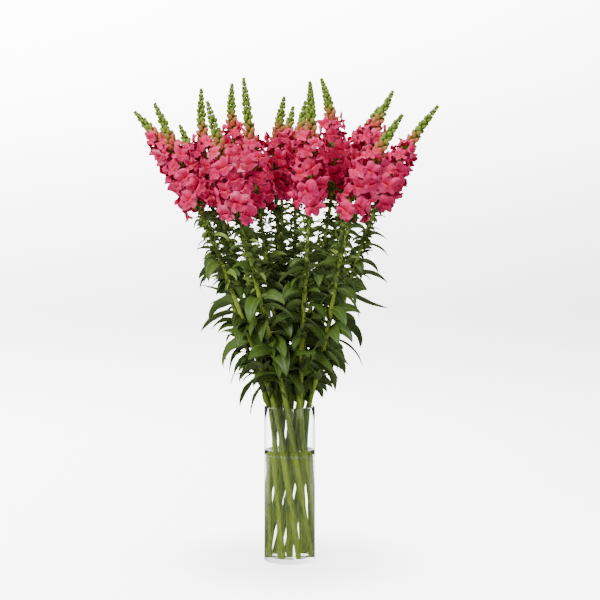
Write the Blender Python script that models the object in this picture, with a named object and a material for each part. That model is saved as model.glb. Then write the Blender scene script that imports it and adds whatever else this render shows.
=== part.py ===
"""Sixteen cut snapdragons standing in a clear glass cylinder vase with water.

Metres, +Z up. The origin is on the vase's axis, on the surface that it stands on, and -Y is the front.
Every stalk stands on the vase's floor, runs straight through a plain hole in the water, bends outwards
above it and ends in a spike of closed buds. A stalk with its leaves and closed buds is one body, and its
open florets with the half-open buds above them are another, on a sleeve that the stalk runs through.
"""

import math
import random
from typing import NamedTuple

import bmesh
import bpy
import numpy as np

MM = 0.001

# Vase and water
VASE_RADIUS = 50 * MM
VASE_HEIGHT = 302 * MM
GLASS_WALL = 3 * MM
GLASS_BASE = 10 * MM
FOOT_CHAMFER = 1.5 * MM
VASE_SIDES = 32
WATER_LEVEL = 215 * MM
FIT_GAP = 0.35 * MM

# The bundle of stalks inside the vase: straight lines on two twisted rings round a middle one
WAIST_HEIGHT = 200 * MM
BEND_HEIGHT = 235 * MM
SPREAD_HEIGHT = 350 * MM
OUTER_RING = 31 * MM
INNER_RING = 16 * MM
TWIST_RUN = 0.15
SLOT_TURN = 45

# Stalks
STALK_SIDES = 5
STALK_RADIUS = 3.6 * MM
STALK_RADIUS_AT_BLOOM = 2.7 * MM
STALK_RADIUS_AT_BUDS = 1.7 * MM
STALK_RADIUS_AT_TIP = 0.8 * MM
STALK_SPACING = 85 * MM
AXIS_SAMPLES = 400

# Spikes, measured along the stalk
PINK_LENGTH = 118 * MM
HALF_OPEN_SHARE = 0.36
SLEEVE_WALL = 5.5 * MM
SLEEVE_STATIONS = 3
FLORETS = 9
FLORET_RADIUS = 22 * MM
FLORET_REACH = 31 * MM
FLORET_LOBES = 5
FLORET_NECK = 3 * MM
HALF_OPEN_ROWS = 5
HALF_OPEN_REACH = 10 * MM
CLOSED_ROWS = 10
CLOSED_REACH = 7.5 * MM
BUD_RISE = 2.5 * MM
GOLDEN_TURN = math.radians(137.5)
FLAT_ANGLE = math.radians(0.05)
CELL_MARGIN = 1.5 * MM
CELL_SOFT_SHARE = 0.6

# Leaves
LEAF_LOW = 345 * MM
LEAF_HIGH = 590 * MM
BIG_LEAVES = 10
LEAF_LENGTH_LOW = 88 * MM
LEAF_LENGTH_HIGH = 66 * MM
LEAF_WIDTH_SHARE = 0.28
LEAF_KEEL = 2.4 * MM
EDGE_LIFT = 0.12
MIDRIB_STEPS = 24
LEAF_SHARES = (0, 0.1, 0.38, 0.7, 1)
SMALL_LEAF_SHARES = (0, 0.4, 1)
LEAF_TRIES = 20
LEAF_CLEAR = 6 * MM
HEM_SLOPE = 0.8
LEAF_SHRINKS = (1.0, 0.8, 0.62)
SMALL_LEAVES = 5
SMALL_LEAF_LENGTH = 19 * MM
SMALL_LEAF_WIDTH_SHARE = 0.2
SMALL_LEAF_KEEL = 1.6 * MM
BLOOM_MARGIN = 24 * MM

LEAF_RISE = (0, 50)
LEAF_FALL = (50, 115)
LEAF_ROLL = (-50, 50)

SEED = 1605


class Plan(NamedTuple):
    """What is chosen by hand for one stem."""

    name: str
    tip: tuple  # where its spike ends
    lean: float  # sideways run for each unit of height at the tip, to the right
    ring: float  # radius of its ring of stalks at the waist of the bundle
    slot: float  # its place on that ring, in degrees, before the twist
    buds: float  # length of the buds above the open florets


PLANS = (
    Plan("stem_01", (-0.318, 0.080, 0.896), -0.95, OUTER_RING, 166, 0.078),
    Plan("stem_02", (-0.255, -0.085, 0.883), -0.45, OUTER_RING, 206, 0.092),
    Plan("stem_03", (-0.237, 0.180, 0.885), -0.45, OUTER_RING, 126, 0.075),
    Plan("stem_04", (-0.174, 0.000, 0.927), 0.05, INNER_RING, 194, 0.108),
    Plan("stem_05", (-0.149, -0.160, 0.873), -0.28, OUTER_RING, 246, 0.098),
    Plan("stem_06", (-0.119, 0.085, 0.954), 0.05, INNER_RING, 134, 0.100),
    Plan("stem_07", (-0.088, -0.055, 0.937), -0.10, INNER_RING, 254, 0.130),
    Plan("stem_08", (-0.011, 0.030, 0.917), 0.22, 0.0, 90, 0.085),
    Plan("stem_09", (0.006, 0.230, 0.933), 0.25, OUTER_RING, 86, 0.075),
    Plan("stem_10", (0.032, 0.130, 0.927), 0.18, INNER_RING, 74, 0.078),
    Plan("stem_11", (0.039, -0.120, 0.917), -0.05, OUTER_RING, 286, 0.110),
    Plan("stem_12", (0.062, -0.030, 0.941), -0.35, INNER_RING, 314, 0.090),
    Plan("stem_13", (0.190, 0.195, 0.926), 0.55, OUTER_RING, 46, 0.080),
    Plan("stem_14", (0.212, 0.095, 0.941), 0.55, INNER_RING, 14, 0.092),
    Plan("stem_15", (0.210, -0.130, 0.854), 0.75, OUTER_RING, 326, 0.090),
    Plan("stem_16", (0.295, 0.020, 0.897), 0.85, OUTER_RING, 6, 0.105),
)


class ChosenLeaf(NamedTuple):
    """A large leaf placed by hand, where it shapes the outline or the front; its angles are in degrees."""

    stem: str
    height: float
    turn: float  # where it points, seen from above: 0 is right, 180 left and -90 the front
    length: float
    width: float
    rise: float
    fall: float
    roll: float


CHOSEN_LEAVES = (
    ChosenLeaf("stem_01", 0.358, 185, 0.070, 0.020, -35, 45, 30),
    ChosenLeaf("stem_01", 0.400, 195, 0.070, 0.010, -30, 50, 20),
    ChosenLeaf("stem_01", 0.430, 200, 0.064, 0.024, 10, 110, 35),
    ChosenLeaf("stem_01", 0.487, 180, 0.083, 0.016, 0, 60, 40),
    ChosenLeaf("stem_01", 0.565, 180, 0.066, 0.013, 20, 110, 30),
    ChosenLeaf("stem_01", 0.612, 185, 0.040, 0.010, 25, 50, 30),
    ChosenLeaf("stem_02", 0.352, 200, 0.072, 0.019, -40, 45, 30),
    ChosenLeaf("stem_02", 0.455, -50, 0.076, 0.023, -20, 60, 0),
    ChosenLeaf("stem_02", 0.505, 185, 0.074, 0.022, 20, 110, 45),
    ChosenLeaf("stem_02", 0.570, 190, 0.052, 0.014, 10, 90, 30),
    ChosenLeaf("stem_04", 0.505, 180, 0.104, 0.011, 28, 15, 30),
    ChosenLeaf("stem_05", 0.368, -48, 0.085, 0.023, 25, 110, 0),
    ChosenLeaf("stem_05", 0.515, -110, 0.080, 0.027, 10, 110, 0),
    ChosenLeaf("stem_07", 0.570, -100, 0.062, 0.024, 20, 100, 0),
    ChosenLeaf("stem_11", 0.570, 205, 0.072, 0.021, 0, 55, 30),
    ChosenLeaf("stem_11", 0.475, -35, 0.085, 0.025, -10, 65, -20),
    ChosenLeaf("stem_12", 0.570, -90, 0.066, 0.023, 10, 90, 0),
    ChosenLeaf("stem_15", 0.385, -5, 0.062, 0.024, -30, 60, -35),
    ChosenLeaf("stem_15", 0.420, -15, 0.062, 0.020, -25, 20, -35),
    ChosenLeaf("stem_15", 0.530, -30, 0.080, 0.025, -10, 70, -30),
    ChosenLeaf("stem_16", 0.435, 5, 0.086, 0.008, -10, 65, -30),
    ChosenLeaf("stem_16", 0.462, 0, 0.076, 0.026, 10, 110, -35),
    ChosenLeaf("stem_16", 0.530, 0, 0.090, 0.014, -38, -30, -35),
    ChosenLeaf("stem_16", 0.560, -10, 0.078, 0.016, 25, 75, -35),
    ChosenLeaf("stem_16", 0.587, 10, 0.058, 0.013, 20, 95, -30),
    ChosenLeaf("stem_16", 0.622, 0, 0.062, 0.008, 10, 70, -30),
    ChosenLeaf("stem_16", 0.646, 5, 0.045, 0.008, 5, 50, -30),
)


def unit(vectors):
    """The vectors at length one."""
    return vectors / np.linalg.norm(vectors, axis=-1, keepdims=True)


class Stalk:
    """The centre line of one stalk, with places on it given by the length along it from the foot."""

    def __init__(self, plan):
        self.plan = plan
        foot_height = GLASS_BASE + FIT_GAP
        turn = math.radians(plan.slot + SLOT_TURN)
        waist = plan.ring * np.array([math.cos(turn), math.sin(turn)])
        twist = TWIST_RUN * min(1.0, plan.ring / INNER_RING)
        run = twist * np.array([math.sin(turn), -math.cos(turn)])
        tip = np.array(plan.tip)
        height = np.linspace(foot_height, tip[2], AXIS_SAMPLES)
        line = waist + np.outer(height - WAIST_HEIGHT, run)
        bend = waist + (BEND_HEIGHT - WAIST_HEIGHT) * run
        over = SPREAD_HEIGHT - BEND_HEIGHT
        spread = (tip[:2] - bend) / (tip[2] - BEND_HEIGHT)
        turned = bend + over * (run + spread) / 2
        onset = np.clip(height - BEND_HEIGHT, 0, over)[:, None]
        bending = bend + onset * run + onset**2 / (2 * over) * (spread - run)
        rise = tip[2] - SPREAD_HEIGHT
        share = np.clip((height - SPREAD_HEIGHT) / rise, 0, 1)[:, None]
        lean = np.array([plan.lean, 1.1 * spread[1]])
        rising = (
            (2 * share**3 - 3 * share**2 + 1) * turned
            + (share**3 - 2 * share**2 + share) * rise * spread
            + (3 * share**2 - 2 * share**3) * tip[:2]
            + (share**3 - share**2) * rise * lean
        )
        stretch = np.digitize(height, (BEND_HEIGHT, SPREAD_HEIGHT))[:, None]
        across = np.choose(stretch, (line, bending, rising))
        self.points = np.column_stack([across, height])
        steps = np.linalg.norm(np.diff(self.points, axis=0), axis=1)
        self.along = np.concatenate([[0.0], np.cumsum(steps)])
        self.length = self.along[-1]
        self.bend = self.length_at(BEND_HEIGHT)
        self.buds = self.length - plan.buds * (1 - HALF_OPEN_SHARE)
        self.bloom = self.length - plan.buds - PINK_LENGTH
        self.pink_top = self.length - plan.buds

    def length_at(self, height):
        """The length along the stalk at a height."""
        return float(np.interp(height, self.points[:, 2], self.along))

    def at(self, along):
        """The points of the centre line at these lengths."""
        return np.stack([np.interp(along, self.along, self.points[:, k]) for k in range(3)], axis=-1)

    def across(self, height):
        """The points of the centre line at these heights."""
        xy = [np.interp(height, self.points[:, 2], self.points[:, k]) for k in range(2)]
        return np.stack([*xy, height], axis=-1)

    def frame(self, along):
        """Sideways, forwards and onwards directions at these lengths."""
        onward = unit(self.at(along + MM) - self.at(along - MM))
        side = unit(np.cross([0.0, 1.0, 0.0], onward))
        return side, np.cross(onward, side), onward

    def radius(self, along):
        """The stalk's own radius at these lengths."""
        places = (0, self.bend, self.bloom, self.buds, self.length)
        sizes = (STALK_RADIUS, STALK_RADIUS, STALK_RADIUS_AT_BLOOM, STALK_RADIUS_AT_BUDS, STALK_RADIUS_AT_TIP)
        return np.interp(along, places, sizes)

    def rings(self, along, extra=0.0):
        """One ring of points round the stalk at each length, this much outside its surface."""
        along = np.asarray(along, float)
        side, front, _ = self.frame(along)
        turns = np.arange(STALK_SIDES) * 2 * math.pi / STALK_SIDES
        spokes = np.cos(turns)[:, None] * side[:, None] + np.sin(turns)[:, None] * front[:, None]
        reach = (self.radius(along) + extra)[:, None, None]
        return self.at(along)[:, None] + reach * spokes


def mesh_object(name, points, faces, material=None):
    """A mesh object from points and faces, with its normals outward."""
    mesh = bpy.data.meshes.new(name)
    mesh.from_pydata(np.asarray(points).tolist(), [], faces)
    solid = bmesh.new()
    solid.from_mesh(mesh)
    bmesh.ops.recalc_face_normals(solid, faces=solid.faces)
    solid.to_mesh(mesh)
    solid.free()
    if material:
        mesh.materials.append(material)
    obj = bpy.data.objects.new(name, mesh)
    bpy.context.scene.collection.objects.link(obj)
    return obj


def tube_faces(rings, sides, first=0):
    """Faces of a tube of rings that lie one after another in the list of points, with both ends filled."""
    faces = [tuple(first + k for k in reversed(range(sides)))]
    for ring in range(rings - 1):
        low = first + ring * sides
        for k in range(sides):
            after = (k + 1) % sides
            faces.append((low + k, low + after, low + sides + after, low + sides + k))
    faces.append(tuple(first + (rings - 1) * sides + k for k in range(sides)))
    return faces


def finish(name, color, roughness, transmission=0.0):
    """A plain Principled material."""
    material = bpy.data.materials.new(name)
    material.use_nodes = True
    shader = material.node_tree.nodes["Principled BSDF"]
    shader.inputs["Base Color"].default_value = (*color, 1.0)
    shader.inputs["Roughness"].default_value = roughness
    shader.inputs["Metallic"].default_value = 0.0
    shader.inputs["Transmission Weight"].default_value = transmission
    return material


def apply_modifiers(body):
    """Gives the body its modified mesh, with the needless points on its flat faces dissolved."""
    graph = bpy.context.evaluated_depsgraph_get()
    mesh = bpy.data.meshes.new_from_object(body.evaluated_get(graph))
    body.modifiers.clear()
    solid = bmesh.new()
    solid.from_mesh(mesh)
    bmesh.ops.dissolve_limit(solid, angle_limit=FLAT_ANGLE, verts=solid.verts, edges=solid.edges)
    solid.to_mesh(mesh)
    solid.free()
    body.data = mesh


def fuse(body, pieces):
    """Joins the pieces to the body in one Boolean union and removes them."""
    group = bpy.data.collections.new(body.name + "_pieces")
    bpy.context.scene.collection.children.link(group)
    for piece in pieces:
        bpy.context.scene.collection.objects.unlink(piece)
        group.objects.link(piece)
    union = body.modifiers.new("union", "BOOLEAN")
    union.operation = "UNION"
    union.operand_type = "COLLECTION"
    union.collection = group
    union.solver = "MANIFOLD"
    apply_modifiers(body)
    for piece in pieces:
        bpy.data.objects.remove(piece)
    bpy.data.collections.remove(group)


def cut(body, cutters):
    """Takes the cutters out of the body one after another and removes them."""
    for cutter in cutters:
        hole = body.modifiers.new("hole", "BOOLEAN")
        hole.operation = "DIFFERENCE"
        hole.object = cutter
        cutter.hide_render = True
        cutter.display_type = "WIRE"
    apply_modifiers(body)
    for cutter in cutters:
        bpy.data.objects.remove(cutter)


def turned(name, profile, material):
    """A solid of revolution: the profile's first and last points lie on the axis, outer side first."""
    solid = bmesh.new()
    turns = [2 * math.pi * k / VASE_SIDES for k in range(VASE_SIDES)]
    rows = []
    for radius, height in profile:
        if radius == 0:
            rows.append([solid.verts.new((0, 0, height))])
        else:
            rows.append([solid.verts.new((radius * math.cos(a), radius * math.sin(a), height)) for a in turns])
    for low, high in zip(rows, rows[1:]):
        for k in range(VASE_SIDES):
            after = (k + 1) % VASE_SIDES
            corners = [low[k % len(low)], low[after % len(low)], high[after % len(high)], high[k % len(high)]]
            solid.faces.new(list(dict.fromkeys(corners)))
    bmesh.ops.recalc_face_normals(solid, faces=solid.faces)
    mesh = bpy.data.meshes.new(name)
    solid.to_mesh(mesh)
    solid.free()
    mesh.materials.append(material)
    mesh.shade_smooth()
    mesh.set_sharp_from_angle(angle=math.radians(40))
    obj = bpy.data.objects.new(name, mesh)
    bpy.context.scene.collection.objects.link(obj)
    return obj


def make_vase(material):
    """The glass: a thin wall on a thick flat base, with a rounded rim."""
    inside = VASE_RADIUS - GLASS_WALL
    rim = GLASS_WALL / 4
    profile = (
        (0, 0),
        (VASE_RADIUS - FOOT_CHAMFER, 0),
        (VASE_RADIUS, FOOT_CHAMFER),
        (VASE_RADIUS, VASE_HEIGHT - rim),
        (VASE_RADIUS - rim, VASE_HEIGHT),
        (inside + rim, VASE_HEIGHT),
        (inside, VASE_HEIGHT - rim),
        (inside, GLASS_BASE),
        (0, GLASS_BASE),
    )
    return turned("vase", profile, material)


def make_water(stalks, material):
    """The water: it fills the vase to its level, with a plain hole for each stalk."""
    reach = VASE_RADIUS - GLASS_WALL - FIT_GAP
    bottom = GLASS_BASE + FIT_GAP
    profile = (
        (0, bottom),
        (reach, bottom),
        (reach, WATER_LEVEL),
        (0, WATER_LEVEL),
    )
    water = turned("water", profile, material)
    cutters = []
    for stalk in stalks:
        ends = stalk.rings([0, stalk.bend], FIT_GAP)
        onward = unit(ends[1, 0] - ends[0, 0])
        ends[0] -= onward * 3 * GLASS_WALL
        cutters.append(mesh_object(stalk.plan.name + "_hole", ends.reshape(-1, 3), tube_faces(2, STALK_SIDES)))
    cut(water, cutters)
    return water


def inside_cell(points, own, stalks):
    """Points pressed back softly where they would pass half way to the next stalk at their height."""
    points = points.copy()
    for other in stalks:
        if other is own:
            continue
        middle = own.across(points[:, 2])
        between = other.across(points[:, 2]) - middle
        distance = np.linalg.norm(between, axis=1)
        towards = between / distance[:, None]
        most = distance / 2 - CELL_MARGIN
        out = np.sum((points - middle) * towards, axis=1) / most
        free = 1 - CELL_SOFT_SHARE
        soft = CELL_SOFT_SHARE + free * np.tanh((out - CELL_SOFT_SHARE) / free)
        back = np.where(out > CELL_SOFT_SHARE, (soft - out) * most, 0.0)
        points += back[:, None] * towards
    return points


class Leaf(NamedTuple):
    """One leaf: where it grows, where it points and how large it is."""

    stalk: Stalk
    along: float
    turn: float
    length: float
    width: float
    keel: float
    rise: float  # angle over the horizontal at its root, in radians
    fall: float  # how far that angle has turned down at its tip
    roll: float  # how far the blade is turned round its midrib

    def midrib(self, share):
        """Points of the midrib at these shares of its length, and the blade's side and downward directions."""
        outward = np.array([math.cos(self.turn), math.sin(self.turn), 0.0])
        across = np.array([-outward[1], outward[0], 0.0])
        up = np.array([0.0, 0.0, 1.0])
        steps = np.linspace(0, 1, MIDRIB_STEPS + 1)
        angle = self.rise - self.fall * steps
        middle = (angle[1:] + angle[:-1]) / 2
        step = self.length / MIDRIB_STEPS
        run = np.concatenate([[0], np.cumsum(np.cos(middle))]) * step
        lift = np.concatenate([[0], np.cumsum(np.sin(middle))]) * step
        root = self.stalk.at(self.along)
        points = root + np.interp(share, steps, run)[:, None] * outward + np.interp(share, steps, lift)[:, None] * up
        slope = (self.rise - self.fall * np.asarray(share))[:, None]
        over = np.cos(slope) * up - np.sin(slope) * outward
        side = math.cos(self.roll) * across + math.sin(self.roll) * over
        return points, side, math.sin(self.roll) * across - math.cos(self.roll) * over

    def half_width(self, share):
        """A lance's half width: a narrow stalk, widest before the middle, and a long point."""
        blade = np.sin(math.pi * share**0.72) ** 0.85
        return self.width / 2 * np.maximum(blade, 0.16 * (1 - share))

    def samples(self):
        """Points on the midrib and on both edges, away from the root."""
        share = np.linspace(0.1, 1, 10)
        middle, side, _ = self.midrib(share)
        edge = self.half_width(share)[:, None] * side
        return np.concatenate([middle, middle + edge, middle - edge])

    def solid(self, shares):
        """The leaf as a thin body with two edges and a keel, ending in a point."""
        share = np.array(shares)
        middle, side, below = self.midrib(share)
        edge = self.half_width(share)[:, None] * side
        depth = self.keel * (1 - 0.6 * share)[:, None]
        lift = EDGE_LIFT * np.linalg.norm(edge, axis=1, keepdims=True)
        rings = np.stack([middle + edge - lift * below, middle + depth * below, middle - edge - lift * below], axis=1)
        return spindle(middle[0], rings[1:-1], middle[-1])


def spindle(root, rings, tip):
    """Points and faces of a body that grows from a point, through rings, to a point."""
    sides = rings.shape[1]
    points = np.concatenate([[root], rings.reshape(-1, 3), [tip]])
    last = 1 + (len(rings) - 1) * sides
    faces = []
    for k in range(sides):
        after = (k + 1) % sides
        faces.append((0, 1 + after, 1 + k))
        faces.append((last + k, last + after, len(points) - 1))
        for ring in range(len(rings) - 1):
            low = 1 + ring * sides
            faces.append((low + k, low + after, low + sides + after))
            faces.append((low + k, low + sides + after, low + sides + k))
    return points, faces


def clearance(samples, near):
    """The least distance from each candidate's samples to the balls in the list and to the hem.

    The hem is the cone that widens upwards from the vase's rim, below which no leaf of the spirals hangs.
    """
    centres, radii = near
    gaps = np.linalg.norm(samples[:, :, None] - centres, axis=3) - radii
    least = gaps.reshape(len(samples), -1).min(axis=1)
    beyond = np.maximum(np.linalg.norm(samples[:, :, :2], axis=2) - VASE_RADIUS, 0.0)
    over_hem = samples[:, :, 2] - VASE_HEIGHT - HEM_SLOPE * beyond
    return np.minimum(least, over_hem.min(axis=1))


def balls_of(stalks):
    """Balls that fill the stalks above the vase and the blooms round them: owner, centres and radii."""
    owners, centres, radii = [], [], []
    for number, stalk in enumerate(stalks):
        along = np.arange(stalk.bend, stalk.length, 6 * MM)
        bloom = (along > stalk.bloom - BLOOM_MARGIN / 2) & (along < stalk.buds)
        owners.append(np.full(len(along), number))
        centres.append(stalk.at(along))
        radii.append(np.where(bloom, FLORET_REACH + FLORET_RADIUS / 2, stalk.radius(along)))
    return np.concatenate(owners), np.concatenate(centres), np.concatenate(radii)


def chosen_leaves(stalk):
    """The leaves that are placed by hand on this stalk."""
    leaves = []
    for chosen in CHOSEN_LEAVES:
        if chosen.stem == stalk.plan.name:
            along = stalk.length_at(chosen.height)
            angles = [math.radians(angle) for angle in (chosen.rise, chosen.fall, chosen.roll)]
            turn = math.radians(chosen.turn)
            leaves.append(Leaf(stalk, along, turn, chosen.length, chosen.width, LEAF_KEEL, *angles))
    return leaves


def place_big_leaves(stalks):
    """The large leaves of all stalks: first those placed by hand, then the rest in a spiral up each stalk.

    Each leaf of the spiral takes the turn nearest to its own where it stays clear of the other stalks, the
    blooms, the vase and the leaves before it, if need be a size smaller, or is left out.
    """
    draw = random.Random(SEED)
    owners, centres, radii = balls_of(stalks)
    placed = [chosen_leaves(stalk) for stalk in stalks]
    for leaf in [leaf for leaves in placed for leaf in leaves]:
        points = leaf.samples()
        owners = np.concatenate([owners, np.full(len(points), -1)])
        centres = np.concatenate([centres, points])
        radii = np.concatenate([radii, np.zeros(len(points))])
    for step in range(BIG_LEAVES):
        for number, stalk in enumerate(stalks):
            share = (step + draw.uniform(0.1, 0.9)) / BIG_LEAVES
            along = stalk.length_at(LEAF_LOW + (LEAF_HIGH - LEAF_LOW) * share)
            turn = step * GOLDEN_TURN + number + draw.uniform(-0.3, 0.3)
            length = (LEAF_LENGTH_LOW + (LEAF_LENGTH_HIGH - LEAF_LENGTH_LOW) * share) * draw.uniform(0.85, 1.15)
            angles = [math.radians(draw.uniform(*limits)) for limits in (LEAF_RISE, LEAF_FALL, LEAF_ROLL)]
            width = LEAF_WIDTH_SHARE * draw.uniform(0.85, 1.2)
            if len(placed[number]) >= BIG_LEAVES:
                continue
            near = np.linalg.norm(centres - stalk.at(along), axis=1) < length + FLORET_REACH + FLORET_RADIUS
            near &= owners != number
            balls = (centres[near], radii[near])
            turns = turn + np.linspace(-math.pi, math.pi, LEAF_TRIES, endpoint=False)
            away = np.abs(turns - turn) / math.pi
            for shrink in LEAF_SHRINKS:
                size = length * shrink
                tries = [Leaf(stalk, along, t, size, size * width, LEAF_KEEL, *angles) for t in turns]
                samples = np.stack([leaf.samples() for leaf in tries])
                gaps = np.minimum(clearance(samples, balls), 2 * LEAF_CLEAR)
                best = int(np.argmax(gaps - LEAF_CLEAR * away))
                if gaps[best] > LEAF_CLEAR:
                    placed[number].append(tries[best])
                    owners = np.concatenate([owners, np.full(samples.shape[1], -1)])
                    centres = np.concatenate([centres, samples[best]])
                    radii = np.concatenate([radii, np.zeros(samples.shape[1])])
                    break
    return placed


def place_small_leaves(stalk, draw):
    """The narrow leaves between the large ones and the florets, in a spiral."""
    low = stalk.length_at(LEAF_HIGH)
    high = stalk.bloom - BLOOM_MARGIN
    leaves = []
    for step in range(SMALL_LEAVES):
        share = (step + 0.5) / SMALL_LEAVES
        length = SMALL_LEAF_LENGTH * (1.35 - 0.7 * share) * draw.uniform(0.85, 1.15)
        turn = step * GOLDEN_TURN + draw.uniform(-0.3, 0.3)
        rise = math.radians(draw.uniform(40, 60))
        fall = math.radians(draw.uniform(30, 60))
        roll = math.radians(draw.uniform(-40, 40))
        width = length * SMALL_LEAF_WIDTH_SHARE
        along = low + (high - low) * share
        leaves.append(Leaf(stalk, along, turn, length, width, SMALL_LEAF_KEEL, rise, fall, roll))
    return leaves


def bud_rows(stalk, along, surface, reach):
    """Rings round a stalk whose points stand out in turn as buds, two of them on each ring."""
    side, front, onward = stalk.frame(along)
    rings = []
    for row, place in enumerate(along):
        turns = np.arange(STALK_SIDES) * 2 * math.pi / STALK_SIDES
        spokes = np.cos(turns)[:, None] * side[row] + np.sin(turns)[:, None] * front[row]
        bud = np.isin((np.arange(STALK_SIDES) - row) % STALK_SIDES, (0, 2))
        radius = np.where(bud, reach[row], surface[row])[:, None]
        lift = np.where(bud, BUD_RISE, -BUD_RISE / 2)[:, None]
        rings.append(stalk.at(place) + radius * spokes + lift * onward[row])
    return np.array(rings)


def sleeve_wall(stalk, along):
    """The wall of the sleeve under the florets at these lengths: thickest below the middle."""
    share = (along - stalk.bloom) / (stalk.buds - stalk.bloom)
    return SLEEVE_WALL * np.interp(share, (0, 1 / 3, 2 / 3, 1), (0.5, 1.0, 0.8, 0.35))


def floret_solid(stalk, along, turn, size, droop):
    """An open floret: a funnel with a lobed rim, two lobes up and three down, and a raised lower lip."""
    side, front, onward = stalk.frame(along)
    outward = side * math.cos(turn) + front * math.sin(turn)
    axis = outward * math.cos(droop) - onward * math.sin(droop)
    up = onward * math.cos(droop) + outward * math.sin(droop)
    across = np.cross(up, axis)
    centre = stalk.at(along)
    wall = sleeve_wall(stalk, along)
    surface = stalk.radius(along) + FIT_GAP + wall
    root = centre + (surface - 0.6 * wall) * outward
    neck_turns = np.arange(3) * 2 * math.pi / 3
    neck = centre + (surface + MM) * outward + FLORET_NECK * (
        np.cos(neck_turns)[:, None] * up + np.sin(neck_turns)[:, None] * across
    )
    rim_turns = np.arange(2 * FLORET_LOBES) * math.pi / FLORET_LOBES
    lobe = (1 - np.cos(FLORET_LOBES * rim_turns)) / 2
    radius = size * FLORET_RADIUS * (0.7 + 0.3 * lobe)
    reach = size * FLORET_REACH * (1 - 0.2 * lobe)
    rim = centre + reach[:, None] * axis + radius[:, None] * (
        np.cos(rim_turns)[:, None] * up + np.sin(rim_turns)[:, None] * across
    )
    throat = centre + size * (0.62 * FLORET_REACH * axis + 0.2 * FLORET_RADIUS * up)
    lip = centre + size * (1.08 * FLORET_REACH * axis - 0.28 * FLORET_RADIUS * up)
    points = np.concatenate([[root], neck, rim, [throat, lip]])
    rim_count = len(rim)
    first, throat_at, lip_at = 4, 4 + rim_count, 5 + rim_count
    faces = [(0, 2, 1), (0, 3, 2), (0, 1, 3)]
    nearest = [1 + round(k * 3 / rim_count) % 3 for k in range(rim_count)]
    for k in range(rim_count):
        after = (k + 1) % rim_count
        faces.append((nearest[k], first + after, first + k))
        if nearest[after] != nearest[k]:
            faces.append((nearest[k], nearest[after], first + after))
        lower = 3 <= k < 7
        faces.append((first + k, first + after, lip_at if lower else throat_at))
    faces.append((first + 3, lip_at, throat_at))
    faces.append((first + 7, throat_at, lip_at))
    return points, faces


def florets(stalk, phase, draw):
    """The open florets in a spiral up the sleeve, the lowest ones largest and hanging."""
    for number in range(FLORETS):
        share = (number + 0.5) / FLORETS
        along = stalk.bloom + (0.06 + 0.9 * share) * PINK_LENGTH
        turn = phase + number * GOLDEN_TURN
        size = (1.04 - 0.3 * share**2) * draw.uniform(0.95, 1.05)
        droop = math.radians(18 - 48 * share) + draw.uniform(-0.1, 0.1)
        yield floret_solid(stalk, along, turn, size, droop)


def sleeve(stalk, material):
    """The slim body that carries a spike's florets, with a plain hole that the stalk runs through.

    Its upper end stands out in rows of half-open buds.
    """
    inner = stalk.rings(np.linspace(stalk.bloom, stalk.buds, SLEEVE_STATIONS), FIT_GAP)
    low = np.linspace(stalk.bloom, stalk.pink_top, SLEEVE_STATIONS)
    high = np.linspace(stalk.pink_top, stalk.buds, HALF_OPEN_ROWS + 1)[1:]
    surface = stalk.radius(high) + FIT_GAP + sleeve_wall(stalk, high)
    reach = surface + HALF_OPEN_REACH * np.linspace(0.85, 0.4, HALF_OPEN_ROWS)
    reach[-1] = surface[-1]
    buds = bud_rows(stalk, high, surface, reach)
    buds[-1] = stalk.rings([stalk.buds], FIT_GAP + sleeve_wall(stalk, stalk.buds))[0]
    outer = np.concatenate([stalk.rings(low, FIT_GAP + sleeve_wall(stalk, low)), buds])
    points = np.concatenate([outer.reshape(-1, 3), inner.reshape(-1, 3)])
    faces = []
    start = 0
    for rings, order in ((outer, 1), (inner, -1)):
        for ring in range(len(rings) - 1):
            base = start + ring * STALK_SIDES
            for k in range(STALK_SIDES):
                after = (k + 1) % STALK_SIDES
                faces.append((base + k, base + after, base + STALK_SIDES + after)[::order])
                faces.append((base + k, base + STALK_SIDES + after, base + STALK_SIDES + k)[::order])
        start += len(rings) * STALK_SIDES
    outer_end, inner_start = (len(outer) - 1) * STALK_SIDES, len(outer) * STALK_SIDES
    inner_end = inner_start + (len(inner) - 1) * STALK_SIDES
    for first, second, order in ((0, inner_start, 1), (outer_end, inner_end, -1)):
        for k in range(STALK_SIDES):
            after = (k + 1) % STALK_SIDES
            faces.append((first + k, second + k, second + after, first + after)[::order])
    return mesh_object(stalk.plan.name.replace("stem", "bloom"), points, faces, material)


def stalk_rings(stalk):
    """The rings of a stalk: its foot, the bend, even steps, the sleeve's own, and the rows of closed buds."""
    steps = max(2, round((stalk.bloom - stalk.bend) / STALK_SPACING))
    plain = np.concatenate(
        [
            [0],
            np.linspace(stalk.bend, stalk.bloom, steps, endpoint=False),
            np.linspace(stalk.bloom, stalk.buds, SLEEVE_STATIONS),
        ]
    )
    rings = stalk.rings(plain)
    onward = unit(rings[1] - rings[0])
    floor = GLASS_BASE + FIT_GAP
    rings[0] -= onward * ((rings[0, :, 2:] - floor) / onward[:, 2:])
    share = (np.arange(CLOSED_ROWS) + 1) / (CLOSED_ROWS + 0.5)
    along = stalk.buds + BUD_RISE + (stalk.length - stalk.buds - BUD_RISE) * share
    surface = stalk.radius(along)
    reach = surface + CLOSED_REACH * (1 - 0.78 * share)
    return np.concatenate([rings, bud_rows(stalk, along, surface, reach)])


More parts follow.
